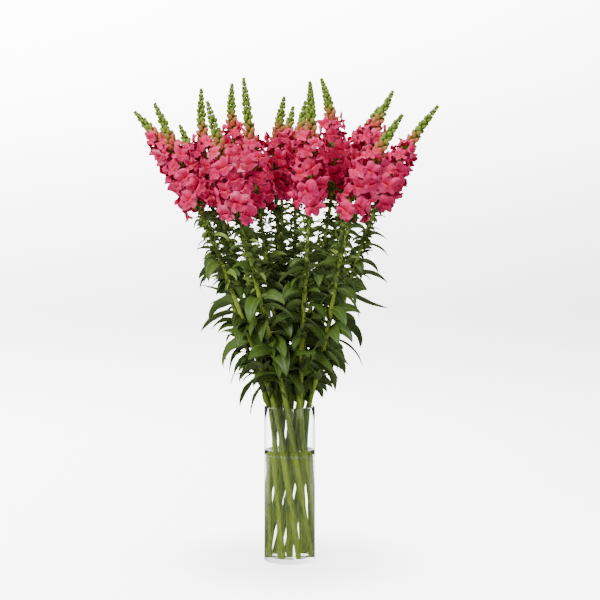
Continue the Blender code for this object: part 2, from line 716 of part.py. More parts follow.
def ring_tube(rings, tip):
    """Points and faces of a tube of rings, flat at its foot and pointed at its tip."""
    sides = rings.shape[1]
    points = np.concatenate([rings.reshape(-1, 3), [tip]])
    last = (len(rings) - 1) * sides
    faces = [tuple(reversed(range(sides)))]
    for k in range(sides):
        after = (k + 1) % sides
        faces.append((last + k, last + after, len(points) - 1))
        for ring in range(len(rings) - 1):
            low = ring * sides
            faces.append((low + k, low + after, low + sides + after))
            faces.append((low + k, low + sides + after, low + sides + k))
    return points, faces


def make_stem(stalk, big_leaves, material, draw):
    """A green stem: its stalk with the closed buds, and its large and small leaves, as one body."""
    name = stalk.plan.name
    body = mesh_object(name, *ring_tube(stalk_rings(stalk), stalk.at(stalk.length)), material)
    pieces = [mesh_object(name + "_leaf", *leaf.solid(LEAF_SHARES)) for leaf in big_leaves]
    small = place_small_leaves(stalk, draw)
    pieces += [mesh_object(name + "_leaf", *leaf.solid(SMALL_LEAF_SHARES)) for leaf in small]
    fuse(body, pieces)
    return body


def make_bloom(stalk, stalks, material, draw):
    """The pink body of a stem: its open florets on the sleeve that ends in half-open buds."""
    body = sleeve(stalk, material)
    pieces = []
    for points, faces in florets(stalk, draw.uniform(0, 2 * math.pi), draw):
        pieces.append(mesh_object(body.name + "_floret", inside_cell(points, stalk, stalks), faces))
    fuse(body, pieces)
    return body


def build():
    """Makes the vase, the water and the sixteen stems with their blooms."""
    for obj in list(bpy.data.objects):
        bpy.data.objects.remove(obj)
    glass = finish("clear_glass", (0.93, 0.95, 0.94), 0.02, 1.0)
    water = finish("clear_water", (0.90, 0.95, 0.90), 0.02, 1.0)
    green = finish("leaf_green", (0.07, 0.14, 0.03), 0.5)
    pink = finish("petal_pink", (0.66, 0.05, 0.13), 0.55)
    stalks = [Stalk(plan) for plan in PLANS]
    make_vase(glass)
    make_water(stalks, water)
    big_leaves = place_big_leaves(stalks)
    for number, stalk in enumerate(stalks):
        draw = random.Random(SEED + number)
        make_stem(stalk, big_leaves[number], green, draw)
        make_bloom(stalk, stalks, pink, draw)


if __name__ == "__main__":
    build()
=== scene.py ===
"""Looks for a bunch of cut pink snapdragons in a clear glass cylinder vase with water.

Metres, +Z up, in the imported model's own frame: the origin is on the vase's axis, on the surface that it stands
on, and -Y is the front. The stalks and the large leaves lie where the solids' own layout rule puts them, so the
rule is written out again here. Each stem is shown by a stalk, leaves, buds, cups and florets, which together
stand for the solids of that stem and of its bloom.
"""

import logging
import math
import random
from dataclasses import dataclass
from enum import Enum
from typing import Callable

import bpy
import numpy as np
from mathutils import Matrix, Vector


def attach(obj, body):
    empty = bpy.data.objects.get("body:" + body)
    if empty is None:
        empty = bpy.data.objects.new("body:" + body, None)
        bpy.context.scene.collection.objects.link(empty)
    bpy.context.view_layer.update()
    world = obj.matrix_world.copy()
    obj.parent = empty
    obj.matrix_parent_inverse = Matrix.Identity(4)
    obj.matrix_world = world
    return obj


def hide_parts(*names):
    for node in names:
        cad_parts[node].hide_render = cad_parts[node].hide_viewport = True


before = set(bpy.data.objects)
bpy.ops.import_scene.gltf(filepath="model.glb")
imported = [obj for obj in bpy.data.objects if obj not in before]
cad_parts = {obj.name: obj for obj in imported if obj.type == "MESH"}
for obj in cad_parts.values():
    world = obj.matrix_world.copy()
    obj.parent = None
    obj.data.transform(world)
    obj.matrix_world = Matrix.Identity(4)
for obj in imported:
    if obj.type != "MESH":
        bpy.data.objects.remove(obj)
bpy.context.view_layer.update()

MM = 0.001
BODY = "root"
LOG = logging.getLogger("snapdragons")
SEED = 1605
GOLDEN_TURN = math.radians(137.5)

Array = np.ndarray
Pair = tuple[float, float]
Triple = tuple[float, float, float]
Color = tuple[float, float, float, float]
Material = bpy.types.Material


# Meshes


def grid_quads(rows: int, columns: int, wrap: bool) -> Array:
    """Faces of a grid of points.

    Args:
        rows: number of rows.
        columns: points in each row.
        wrap: whether each row closes on itself.

    Returns:
        Four point numbers for each face.
    """
    row = np.arange(rows - 1)[:, None]
    column = np.arange(columns if wrap else columns - 1)
    here = row * columns + column
    beside = row * columns + (column + 1) % columns
    return np.stack([here, beside, beside + columns, here + columns], axis=-1).reshape(-1, 4)


def tube_faces(rows: int, columns: int) -> tuple[Array, Array]:
    """Faces of rings of points, closed by one point before them and one after, which both follow the rings.

    Args:
        rows: number of rings.
        columns: points in each ring.

    Returns:
        The faces with four corners and those with three.
    """
    first, last = rows * columns, rows * columns + 1
    column = np.arange(columns)
    beside = (column + 1) % columns
    start = np.stack([np.full(columns, first), beside, column], axis=-1)
    end = np.stack([np.full(columns, last), column, beside], axis=-1)
    end[:, 1:] += (rows - 1) * columns
    return grid_quads(rows, columns, True), np.concatenate([start, end])


def shell_faces(rows: int, columns: int) -> tuple[Array, Array]:
    """Faces of a thin shell: an upper grid of points, the lower grid after it, and the strip round their edge.

    Args:
        rows: rows in each grid.
        columns: points in each row.

    Returns:
        The faces with four corners, and none with three.
    """
    upper = grid_quads(rows, columns, False)
    numbers = np.arange(rows * columns).reshape(rows, columns)
    edge = np.concatenate([numbers[0, :-1], numbers[:-1, -1], numbers[-1, :0:-1], numbers[:0:-1, 0]])
    after = np.roll(edge, -1)
    under = rows * columns
    strip = np.stack([after, edge, edge + under, after + under], axis=-1)
    return np.concatenate([upper, upper[:, ::-1] + under, strip]), np.empty((0, 3), int)


def put(name: str, data: bpy.types.ID) -> bpy.types.Object:
    """Makes an object of the data and links it into the scene."""
    obj = bpy.data.objects.new(name, data)
    bpy.context.scene.collection.objects.link(obj)
    return obj


class Mesh:
    """Collects closed surfaces and makes one piece of them."""

    def __init__(self) -> None:
        """Starts with nothing in it."""
        self.count = 0
        self.points: list[Array] = []
        self.quads: list[Array] = []
        self.triangles: list[Array] = []
        self.values: dict[str, list[Array]] = {}

    def add(self, points: Array, faces: tuple[Array, Array], **values: Array) -> None:
        """Adds copies of one surface and turns each copy's faces outward by the sign of its volume.

        Args:
            points: the points of each copy, as copies by points by 3.
            faces: the surface's faces with four corners and those with three.
            values: for each attribute one number for each point, or what spreads to that.
        """
        copies, size = points.shape[:2]
        quads, triangles = faces
        corners = np.concatenate([quads[:, :3], quads[:, [0, 2, 3]], triangles])
        centred = points - points.mean(axis=1, keepdims=True)
        a, b, c = (centred[:, corners[:, k]] for k in range(3))
        inside_out = np.einsum("nmi,nmi->n", a, np.cross(b, c)) < 0
        first = self.count + size * np.arange(copies)
        for kept, kind in ((self.quads, quads), (self.triangles, triangles)):
            stack = np.broadcast_to(kind, (copies, *kind.shape)).copy()
            stack[inside_out] = stack[inside_out][:, :, ::-1]
            kept.append((stack + first[:, None, None]).reshape(-1, kind.shape[1]))
        self.points.append(points.reshape(-1, 3))
        for name, value in values.items():
            self.values.setdefault(name, []).append(np.broadcast_to(value, (copies, size)).ravel())
        self.count += copies * size

    def add_tubes(self, rings: Array, ends: Array, **values: Array | tuple) -> None:
        """Adds copies of a tube that one point closes at each end.

        Args:
            rings: its points, as copies by rings by turns by 3.
            ends: the two end points, as copies by 2 by 3.
            values: for each attribute one number for each copy, or a grid over rings and turns, and its values
                at the two ends.
        """
        copies, rows, columns = rings.shape[:3]
        for name, value in values.items():
            if isinstance(value, tuple):
                grid = np.broadcast_to(value[0], (copies, rows, columns)).reshape(copies, -1)
                tips = np.broadcast_to(value[1:], (copies, 2))
                values[name] = np.concatenate([grid, tips], axis=1)
        points = np.concatenate([rings.reshape(copies, -1, 3), ends], axis=1)
        self.add(points, tube_faces(rows, columns), **values)

    def piece(self, name: str, material: Material, slot: str, node: str) -> None:
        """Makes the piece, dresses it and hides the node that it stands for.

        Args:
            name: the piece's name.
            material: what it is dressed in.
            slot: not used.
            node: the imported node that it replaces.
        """
        points = np.concatenate(self.points)
        quads, triangles = np.concatenate(self.quads), np.concatenate(self.triangles)
        mesh = bpy.data.meshes.new(name)
        mesh.vertices.add(len(points))
        mesh.vertices.foreach_set("co", points.astype(np.float32).ravel())
        corners = np.concatenate([quads.ravel(), triangles.ravel()]).astype(np.int32)
        sizes = np.repeat([4, 3], [len(quads), len(triangles)])
        mesh.loops.add(len(corners))
        mesh.loops.foreach_set("vertex_index", corners)
        mesh.polygons.add(len(sizes))
        mesh.polygons.foreach_set("loop_start", (np.cumsum(sizes) - sizes).astype(np.int32))
        mesh.update(calc_edges=True)
        mesh.shade_smooth()
        for key, parts in self.values.items():
            attribute = mesh.attributes.new(key, "FLOAT", "POINT")
            attribute.data.foreach_set("value", np.concatenate(parts).astype(np.float32))
        mesh.materials.append(material)
        obj = put(name, mesh)
        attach(obj, BODY)
        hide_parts(node)
        LOG.info("%s: %d faces", name, len(sizes))


def unit(vectors: Array) -> Array:
    """The vectors at length one."""
    return vectors / np.linalg.norm(vectors, axis=-1, keepdims=True)


def smooth(low: float, high: float, value: Array) -> Array:
    """A soft step: 0 below low, 1 above high, and 3t squared less 2t cubed between them."""
    share = np.clip((value - low) / (high - low), 0, 1)
    return share * share * (3 - 2 * share)


def bell(value: Array, width: float) -> Array:
    """A bell: exp of less the square of the value over the width."""
    return np.exp(-((value / width) ** 2))


def between(low: float, high: float, share: Array | float) -> Array | float:
    """What lies at a share of the way from low to high."""
    return low + (high - low) * share


def round_turns(count: int) -> Array:
    """Turns evenly round a circle."""
    return np.arange(count) * math.tau / count


@dataclass(frozen=True)
class Poses:
    """Where copies of a small surface stand: their origins and two directions, as copies by 3."""

    origin: Array
    forward: Array
    up: Array

    def place(self, along: Array, rise: Array, across: Array) -> Array:
        """Puts local coordinates, as copies by anything, at every pose."""
        side = np.cross(self.up, self.forward)
        shape = (len(self.origin),) + (1,) * (along.ndim - 1) + (3,)
        origin, forward, up, side = (rows.reshape(shape) for rows in (self.origin, self.forward, self.up, side))
        return origin + along[..., None] * forward + rise[..., None] * up + across[..., None] * side


# Layout: the stalks and leaves lie where the solids' rule puts them


@dataclass(frozen=True)
class VaseSizes:
    """The glass cylinder and its water."""

    radius: float = 50 * MM
    height: float = 302 * MM
    wall: float = 3 * MM
    base: float = 10 * MM
    water_level: float = 215 * MM
    gap: float = 0.35 * MM


@dataclass(frozen=True)
class Bundle:
    """How the stalks stand in the vase: straight lines on two twisted rings round a middle one."""

    waist: float = 200 * MM
    bend: float = 235 * MM
    spread: float = 350 * MM
    outer_ring: float = 31 * MM
    inner_ring: float = 16 * MM
    twist: float = 0.15
    turn: float = 45.0


VASE = VaseSizes()
BUNDLE = Bundle()
OUTER, INNER = BUNDLE.outer_ring, BUNDLE.inner_ring


@dataclass(frozen=True)
class Plan:
    """What is chosen for one stem: tip, lean there, place in the vase and length of the buds."""

    number: str
    tip: Triple
    lean: float
    ring: float
    slot: float
    buds: float


PLANS = (
    Plan("01", (-0.318, 0.080, 0.896), -0.95, OUTER, 166, 0.078),
    Plan("02", (-0.255, -0.085, 0.883), -0.45, OUTER, 206, 0.092),
    Plan("03", (-0.237, 0.180, 0.885), -0.45, OUTER, 126, 0.075),
    Plan("04", (-0.174, 0.000, 0.927), 0.05, INNER, 194, 0.108),
    Plan("05", (-0.149, -0.160, 0.873), -0.28, OUTER, 246, 0.098),
    Plan("06", (-0.119, 0.085, 0.954), 0.05, INNER, 134, 0.100),
    Plan("07", (-0.088, -0.055, 0.937), -0.10, INNER, 254, 0.130),
    Plan("08", (-0.011, 0.030, 0.917), 0.22, 0.0, 90, 0.085),
    Plan("09", (0.006, 0.230, 0.933), 0.25, OUTER, 86, 0.075),
    Plan("10", (0.032, 0.130, 0.927), 0.18, INNER, 74, 0.078),
    Plan("11", (0.039, -0.120, 0.917), -0.05, OUTER, 286, 0.110),
    Plan("12", (0.062, -0.030, 0.941), -0.35, INNER, 314, 0.090),
    Plan("13", (0.190, 0.195, 0.926), 0.55, OUTER, 46, 0.080),
    Plan("14", (0.212, 0.095, 0.941), 0.55, INNER, 14, 0.092),
    Plan("15", (0.210, -0.130, 0.854), 0.75, OUTER, 326, 0.090),
    Plan("16", (0.295, 0.020, 0.897), 0.85, OUTER, 6, 0.105),
)

# The large leaves listed for each stem: height, turn (0 to the right, -90 to the front), length,
# width, rise, fall and roll, with the angles in degrees.
CHOSEN_LEAVES = {
    "01": (
        (0.358, 185, 0.070, 0.020, -35, 45, 30),
        (0.400, 195, 0.070, 0.010, -30, 50, 20),
        (0.430, 200, 0.064, 0.024, 10, 110, 35),
        (0.487, 180, 0.083, 0.016, 0, 60, 40),
        (0.565, 180, 0.066, 0.013, 20, 110, 30),
        (0.612, 185, 0.040, 0.010, 25, 50, 30),
    ),
    "02": (
        (0.352, 200, 0.072, 0.019, -40, 45, 30),
        (0.455, -50, 0.076, 0.023, -20, 60, 0),
        (0.505, 185, 0.074, 0.022, 20, 110, 45),
        (0.570, 190, 0.052, 0.014, 10, 90, 30),
    ),
    "04": ((0.505, 180, 0.104, 0.011, 28, 15, 30),),
    "05": ((0.368, -48, 0.085, 0.023, 25, 110, 0), (0.515, -110, 0.080, 0.027, 10, 110, 0)),
    "07": ((0.570, -100, 0.062, 0.024, 20, 100, 0),),
    "11": ((0.570, 205, 0.072, 0.021, 0, 55, 30), (0.475, -35, 0.085, 0.025, -10, 65, -20)),
    "12": ((0.570, -90, 0.066, 0.023, 10, 90, 0),),
    "15": (
        (0.385, -5, 0.062, 0.024, -30, 60, -35),
        (0.420, -15, 0.062, 0.020, -25, 20, -35),
        (0.530, -30, 0.080, 0.025, -10, 70, -30),
    ),
    "16": (
        (0.435, 5, 0.086, 0.008, -10, 65, -30),
        (0.462, 0, 0.076, 0.026, 10, 110, -35),
        (0.530, 0, 0.090, 0.014, -38, -30, -35),
        (0.560, -10, 0.078, 0.016, 25, 75, -35),
        (0.587, 10, 0.058, 0.013, 20, 95, -30),
        (0.622, 0, 0.062, 0.008, 10, 70, -30),
        (0.646, 5, 0.045, 0.008, 5, 50, -30),
    ),
}


@dataclass(frozen=True)
class SpikeSizes:
    """Lengths of a spike's zones along the stalk, and how far the florets stand out from it."""

    pink: float = 118 * MM
    half_open_share: float = 0.36
    bud_rise: float = 2.5 * MM
    floret_radius: float = 22 * MM
    floret_reach: float = 31 * MM
    margin: float = 24 * MM


SPIKE = SpikeSizes()


class Stalk:
    """The centre line of one stalk: straight in the vase, bent above it, then one smooth curve to the tip."""

    SAMPLES = 400
    TIP_LEAN = 1.1
    RADII = (3.6 * MM, 3.6 * MM, 2.7 * MM, 1.7 * MM, 0.8 * MM)

    def __init__(self, plan: Plan) -> None:
        """Works the centre line out from the plan.

        Between the bend and the spread height it is a parabola that turns the straight line's run into the mean
        run to the tip. Above that it is a cubic whose slopes are that mean run and the plan's lean.

        Args:
            plan: the stem's own values.
        """
        self.plan = plan
        turn = math.radians(plan.slot + BUNDLE.turn)
        waist = plan.ring * np.array([math.cos(turn), math.sin(turn)])
        twist = BUNDLE.twist * min(1.0, plan.ring / BUNDLE.inner_ring)
        run = twist * np.array([math.sin(turn), -math.cos(turn)])
        tip = np.array(plan.tip)
        height = np.linspace(VASE.base + VASE.gap, tip[2], self.SAMPLES)
        line = waist + np.outer(height - BUNDLE.waist, run)
        bend = waist + (BUNDLE.bend - BUNDLE.waist) * run
        over = BUNDLE.spread - BUNDLE.bend
        spread = (tip[:2] - bend) / (tip[2] - BUNDLE.bend)
        turned = bend + over * (run + spread) / 2
        onset = np.clip(height - BUNDLE.bend, 0, over)[:, None]
        bending = bend + onset * run + onset**2 / (2 * over) * (spread - run)
        rise = tip[2] - BUNDLE.spread
        share = np.clip((height - BUNDLE.spread) / rise, 0, 1)[:, None]
        lean = np.array([plan.lean, self.TIP_LEAN * spread[1]])
        rising = (
            (2 * share**3 - 3 * share**2 + 1) * turned
            + (share**3 - 2 * share**2 + share) * rise * spread
            + (3 * share**2 - 2 * share**3) * tip[:2]
            + (share**3 - share**2) * rise * lean
        )
        stretch = np.digitize(height, (BUNDLE.bend, BUNDLE.spread))[:, None]
        self.points = np.column_stack([np.choose(stretch, (line, bending, rising)), height])
        steps = np.linalg.norm(np.diff(self.points, axis=0), axis=1)
        self.along = np.concatenate([[0.0], np.cumsum(steps)])
        self.length = float(self.along[-1])
        self.bend = self.length_at(BUNDLE.bend)
        self.buds = self.length - plan.buds * (1 - SPIKE.half_open_share)
        self.bloom = self.length - plan.buds - SPIKE.pink
        self.pink_top = self.length - plan.buds

    def length_at(self, height: float) -> float:
        """The length along the stalk at a height."""
        return float(np.interp(height, self.points[:, 2], self.along))

    def at(self, along: Array | float) -> Array:
        """The points of the centre line at these lengths."""
        return np.stack([np.interp(along, self.along, self.points[:, k]) for k in range(3)], axis=-1)

    def across(self, height: Array | float) -> Array:
        """The points of the centre line at these heights."""
        sides = [np.interp(height, self.points[:, 2], self.points[:, k]) for k in range(2)]
        return np.stack([*sides, height], axis=-1)

    def frame(self, along: Array | float) -> tuple[Array, Array, Array]:
        """Sideways, forwards and onwards directions at these lengths."""
        onward = unit(self.at(along + MM) - self.at(along - MM))
        side = unit(np.cross([0.0, 1.0, 0.0], onward))
        return side, np.cross(onward, side), onward

    def radius(self, along: Array | float) -> Array:
        """The stalk's own radius at these lengths."""
        return np.interp(along, (0, self.bend, self.bloom, self.buds, self.length), self.RADII)


@dataclass(frozen=True)
class Leaf:
    """One leaf: where it grows, where it points, its size, and its angles in radians."""

    stalk: Stalk
    along: float
    turn: float
    length: float
    width: float
    rise: float
    fall: float
    roll: float

    STEPS = 24
    SKEW = 0.72
    FULLNESS = 0.85
    NECK = 0.16
    SAMPLED = (0.1, 1, 10)

    def midrib(self, share: Array) -> tuple[Array, Array, Array]:
        """The midrib, an arc whose slope turns evenly from rise to rise less fall.

        Args:
            share: shares of the leaf's length.

        Returns:
            Points of the midrib, and the blade's side and downward directions there.
        """
        outward = np.array([math.cos(self.turn), math.sin(self.turn), 0.0])
        across = np.array([-outward[1], outward[0], 0.0])
        up = np.array([0.0, 0.0, 1.0])
        steps = np.linspace(0, 1, self.STEPS + 1)
        angle = self.rise - self.fall * steps
        middle = (angle[1:] + angle[:-1]) / 2
        step = self.length / self.STEPS
        run = np.concatenate([[0], np.cumsum(np.cos(middle))]) * step
        lift = np.concatenate([[0], np.cumsum(np.sin(middle))]) * step
        out, over = (np.interp(share, steps, part)[:, None] for part in (run, lift))
        points = self.stalk.at(self.along) + out * outward + over * up
        slope = (self.rise - self.fall * np.asarray(share))[:, None]
        above = np.cos(slope) * up - np.sin(slope) * outward
        side = math.cos(self.roll) * across + math.sin(self.roll) * above
        return points, side, math.sin(self.roll) * across - math.cos(self.roll) * above

    def half_width(self, share: Array) -> Array:
        """A lance's half width: a narrow stalk, widest before the middle, and a long point."""
        blade = np.sin(math.pi * share**self.SKEW) ** self.FULLNESS
        return self.width / 2 * np.maximum(blade, self.NECK * (1 - share))

    def samples(self) -> Array:
        """Points on the midrib and on both edges, away from the root."""
        share = np.linspace(*self.SAMPLED)
        middle, side, _ = self.midrib(share)
        edge = self.half_width(share)[:, None] * side
        return np.concatenate([middle, middle + edge, middle - edge])


@dataclass(frozen=True)
class LeafRule:
    """How the leaves of the spirals are sized and how clear they stay of everything else; angles in degrees."""

    seed: int
    length_low: float
    length_high: float
    clear: float
    width_share: float = 0.28
    tries: int = 12
    high: float = 590 * MM
    roll: Pair = (-50, 50)
    most: int = 10
    low: float = 345 * MM
    hem: float = 0.8
    shrinks: Triple = (1.0, 0.8, 0.62)
    rise: Pair = (0, 50)
    fall: Pair = (50, 115)
    spacing: Pair = (0.1, 0.9)
    turn_spread: Pair = (-0.3, 0.3)
    length_spread: Pair = (0.85, 1.15)
    width_spread: Pair = (0.85, 1.2)


LEAF_RULES = (
    LeafRule(SEED, 88 * MM, 66 * MM, 6 * MM, tries=20),
    LeafRule(SEED + 100, 68 * MM, 56 * MM, 1.5 * MM, 0.33, roll=(-80, 80)),
    LeafRule(SEED + 200, 54 * MM, 40 * MM, 0.8 * MM, 0.35, high=620 * MM, roll=(-90, 90)),
)


class Foliage:
    """The large leaves of all stalks, placed clear of the stalks, the blooms, the vase and each other."""

    BALL_STEP = 6 * MM

    def __init__(self, stalks: list[Stalk]) -> None:
        """Fills the stalks and blooms with balls to stay clear of, and places the listed leaves.

        Args:
            stalks: all stalks.
        """
        self.stalks = stalks
        owners, centres, radii = [], [], []
        for number, stalk in enumerate(stalks):
            along = np.arange(stalk.bend, stalk.length, self.BALL_STEP)
            bloom = (along > stalk.bloom - SPIKE.margin / 2) & (along < stalk.buds)
            owners.append(np.full(len(along), number))
            centres.append(stalk.at(along))
            radii.append(np.where(bloom, SPIKE.floret_reach + SPIKE.floret_radius / 2, stalk.radius(along)))
        self.owners, self.centres, self.radii = (np.concatenate(part) for part in (owners, centres, radii))
        self.placed: list[list[Leaf]] = [[] for _ in stalks]
        for stalk, leaves in zip(stalks, self.placed):
            for height, turn, length, width, *rest in CHOSEN_LEAVES.get(stalk.plan.number, ()):
                turn, *angles = (math.radians(angle) for angle in (turn, *rest))
                leaves.append(Leaf(stalk, stalk.length_at(height), turn, length, width, *angles))
        for leaves in self.placed:
            for leaf in leaves:
                self.keep_clear_of(leaf.samples())

    def keep_clear_of(self, points: Array) -> None:
        """Adds points that later leaves stay clear of."""
        self.owners = np.concatenate([self.owners, np.full(len(points), -1)])
        self.centres = np.concatenate([self.centres, points])
        self.radii = np.concatenate([self.radii, np.zeros(len(points))])

    def clearance(self, samples: Array, near: Array, hem: float) -> Array:
        """The least distance of each candidate's samples from the balls and from the cone over the rim.

        Args:
            samples: candidates by points by 3.
            near: which balls count.
            hem: slope of the cone, below which no leaf hangs.

        Returns:
            One distance for each candidate.
        """
        gaps = np.linalg.norm(samples[:, :, None] - self.centres[near], axis=3) - self.radii[near]
        beyond = np.maximum(np.linalg.norm(samples[:, :, :2], axis=2) - VASE.radius, 0.0)
        over_hem = samples[:, :, 2] - VASE.height - hem * beyond
        return np.minimum(gaps.reshape(len(samples), -1).min(axis=1), over_hem.min(axis=1))

    def grow(self, rule: LeafRule) -> None:
        """Grows leaves in a spiral up each stalk; each takes the turn nearest its own that is clear.

        Args:
            rule: their number, sizes and clearances.
        """
        draw = random.Random(rule.seed)
        for step in range(rule.most):
            for number, stalk in enumerate(self.stalks):
                share = (step + draw.uniform(*rule.spacing)) / rule.most
                along = stalk.length_at(between(rule.low, rule.high, share))
                turn = step * GOLDEN_TURN + number + draw.uniform(*rule.turn_spread)
                length = between(rule.length_low, rule.length_high, share) * draw.uniform(*rule.length_spread)
                angles = [math.radians(draw.uniform(*limits)) for limits in (rule.rise, rule.fall, rule.roll)]
                width = rule.width_share * draw.uniform(*rule.width_spread)
                if rule.seed == SEED and len(self.placed[number]) >= rule.most:
                    continue
                reach = length + SPIKE.floret_reach + SPIKE.floret_radius
                near = np.linalg.norm(self.centres - stalk.at(along), axis=1) < reach
                near &= self.owners != number
                turns = turn + np.linspace(-math.pi, math.pi, rule.tries, endpoint=False)
                away = np.abs(turns - turn) / math.pi
                for size in (length * shrink for shrink in rule.shrinks):
                    tries = [Leaf(stalk, along, t, size, size * width, *angles) for t in turns]
                    samples = np.stack([leaf.samples() for leaf in tries])
                    gaps = np.minimum(self.clearance(samples, near, rule.hem), 2 * rule.clear)
                    best = int(np.argmax(gaps - rule.clear * away))
                    if gaps[best] > rule.clear:
                        self.placed[number].append(tries[best])
                        self.keep_clear_of(samples[best])
                        break


def inside_cell(points: Array, own: Stalk, stalks: list[Stalk]) -> Array:
    """Points pressed back softly where they would pass half way to the next stalk at their height.

    Args:
        points: any number of points.
        own: the stalk that they belong to.
        stalks: all stalks.

    Returns:
        The moved points.
    """
    margin, soft_from = 1.5 * MM, 0.6
    free = 1 - soft_from
    points = points.copy()
    for other in stalks:
        if other is not own:
            middle = own.across(points[..., 2])
            apart = other.across(points[..., 2]) - middle
            distance = np.linalg.norm(apart, axis=-1)
            towards = apart / distance[..., None]
            most = distance / 2 - margin
            out = np.sum((points - middle) * towards, axis=-1) / most
            soft = soft_from + free * np.tanh((out - soft_from) / free)
            points += np.where(out > soft_from, (soft - out) * most, 0.0)[..., None] * towards
    return points


# Finishes


class Signal:
    """A socket to reckon with: each step of arithmetic on it adds a node."""

    def __init__(self, nodes: "Nodes", socket: bpy.types.NodeSocket) -> None:
        """Keeps the socket and the helper for its tree."""
        self.nodes, self.socket = nodes, socket

    def math(self, operation: str, *others: "Signal | float") -> "Signal":
        """One step of arithmetic on this and the others."""
        return self.nodes.math(operation, self, *others)

    def __add__(self, other: "Signal | float") -> "Signal":
        """The sum."""
        return self.math("ADD", other)

    def __sub__(self, other: "Signal | float") -> "Signal":
        """The difference."""
        return self.math("SUBTRACT", other)

    def __rsub__(self, other: float) -> "Signal":
        """What is left of the number."""
        return self.nodes.math("SUBTRACT", other, self)

    def __mul__(self, other: "Signal | float") -> "Signal":
        """The product."""
        return self.math("MULTIPLY", other)

    def ramp(self, low: float, high: float) -> "Signal":
        """A soft step from 0 at low to 1 at high."""
        inputs = {"Value": self, "From Min": low, "From Max": high}
        return self.nodes.add("ShaderNodeMapRange", inputs, interpolation_type="SMOOTHSTEP")


class Nodes:
    """Adds nodes to one node tree and joins them."""

    def __init__(self, tree: bpy.types.NodeTree) -> None:
        """Keeps the tree."""
        self.tree = tree

    def feed(self, node: bpy.types.Node, inputs: dict) -> None:
        """Links a signal, or sets a value, to each named or numbered input."""
        for key, value in inputs.items():
            if isinstance(value, Signal):
                self.tree.links.new(value.socket, node.inputs[key])
            else:
                node.inputs[key].default_value = value

    def outputs(self, names: tuple, kind: str, inputs: dict | None = None, **settings: object) -> list[Signal]:
        """Adds a node.

        Args:
            names: which of its outputs are wanted, named or numbered.
            kind: the node's type.
            inputs: a value or a signal for each named or numbered input.
            settings: properties of the node itself.

        Returns:
            The wanted outputs.
        """
        node = self.tree.nodes.new(kind)
        for key, value in settings.items():
            setattr(node, key, value)
        self.feed(node, inputs or {})
        return [Signal(self, node.outputs[name]) for name in names]

    def add(self, kind: str, inputs: dict | None = None, **settings: object) -> Signal:
        """Adds a node for its first output."""
        return self.outputs((0,), kind, inputs, **settings)[0]

    def math(self, operation: str, *values: Signal | float) -> Signal:
        """One step of arithmetic on signals or numbers."""
        return self.add("ShaderNodeMath", dict(enumerate(values)), operation=operation)

    def attributes(self, *names: str) -> list[Signal]:
        """The piece's attributes of these names."""
        return [self.outputs(("Fac",), "ShaderNodeAttribute", attribute_name=name)[0] for name in names]

    def place(self) -> Signal:
        """Object coordinates."""
        return self.outputs(("Object",), "ShaderNodeTexCoord")[0]

    def mix(self, share: Signal, first: Signal | Color, second: Signal | Color) -> Signal:
        """Two colours mixed; the node keeps its colour sockets at places 6, 7 and 2."""
        return self.outputs((2,), "ShaderNodeMix", {0: share, 6: first, 7: second}, data_type="RGBA")[0]

    def bump(self, height: Signal, strength: float, depth: float) -> Signal:
        """The normal of a surface of this height."""
        return self.add("ShaderNodeBump", {"Strength": strength, "Distance": depth, "Height": height})


def color(red: float, green: float, blue: float) -> Color:
    """A full colour from three linear shares."""
    return (red, green, blue, 1.0)


WHITE = color(1.0, 1.0, 1.0)


class Effects:
    """Shader groups that several finishes share; each puts out one mask."""

    def __init__(self) -> None:
        """Builds the groups once."""
        number, vector = "NodeSocketFloat", "NodeSocketVector"
        self.blotches = self.group("blotches", self.patchy, Vector=vector, Scale=number, Contrast=number)
        self.fibres = self.group("fibres", self.lined, Along=number, Across=number, Count=number)

    @staticmethod
    def group(name: str, mask: Callable[..., Signal], **inputs: str) -> bpy.types.NodeTree:
        """Makes a group.

        Args:
            name: the group's name.
            mask: works its output out from the helper for its tree and its inputs.
            inputs: the socket type of each named input.

        Returns:
            The group's tree.
        """
        tree = bpy.data.node_groups.new(name, "ShaderNodeTree")
        for key, kind in inputs.items():
            tree.interface.new_socket(key, in_out="INPUT", socket_type=kind)
        tree.interface.new_socket("Mask", in_out="OUTPUT", socket_type="NodeSocketFloat")
        nodes = Nodes(tree)
        result = mask(nodes, *nodes.outputs(tuple(inputs), "NodeGroupInput"))
        nodes.outputs((), "NodeGroupOutput", {"Mask": result})
        return tree

    @staticmethod
    def patchy(nodes: Nodes, vector: Signal, scale: Signal, contrast: Signal) -> Signal:
        """Soft uneven patches: two sizes of noise added, and stretched about their middle."""
        wide = nodes.add("ShaderNodeTexNoise", {"Vector": vector, "Scale": scale})
        fine = nodes.add("ShaderNodeTexNoise", {"Vector": vector, "Scale": scale * 4.3})
        return nodes.add("ShaderNodeClamp", {"Value": (wide * 0.6 + fine * 0.4 - 0.5) * contrast + 0.5})

    @staticmethod
    def lined(nodes: Nodes, along: Signal, across: Signal, count: Signal) -> Signal:
        """Lines along a stalk or a petal: noise on a place that is squeezed lengthwise."""
        place = nodes.add("ShaderNodeCombineXYZ", {"X": across * count, "Y": along * 2.0})
        noise = nodes.add("ShaderNodeTexNoise", {"Vector": place, "Scale": 1.0, "Detail": 3.0})
        return noise.ramp(0.3, 0.7)


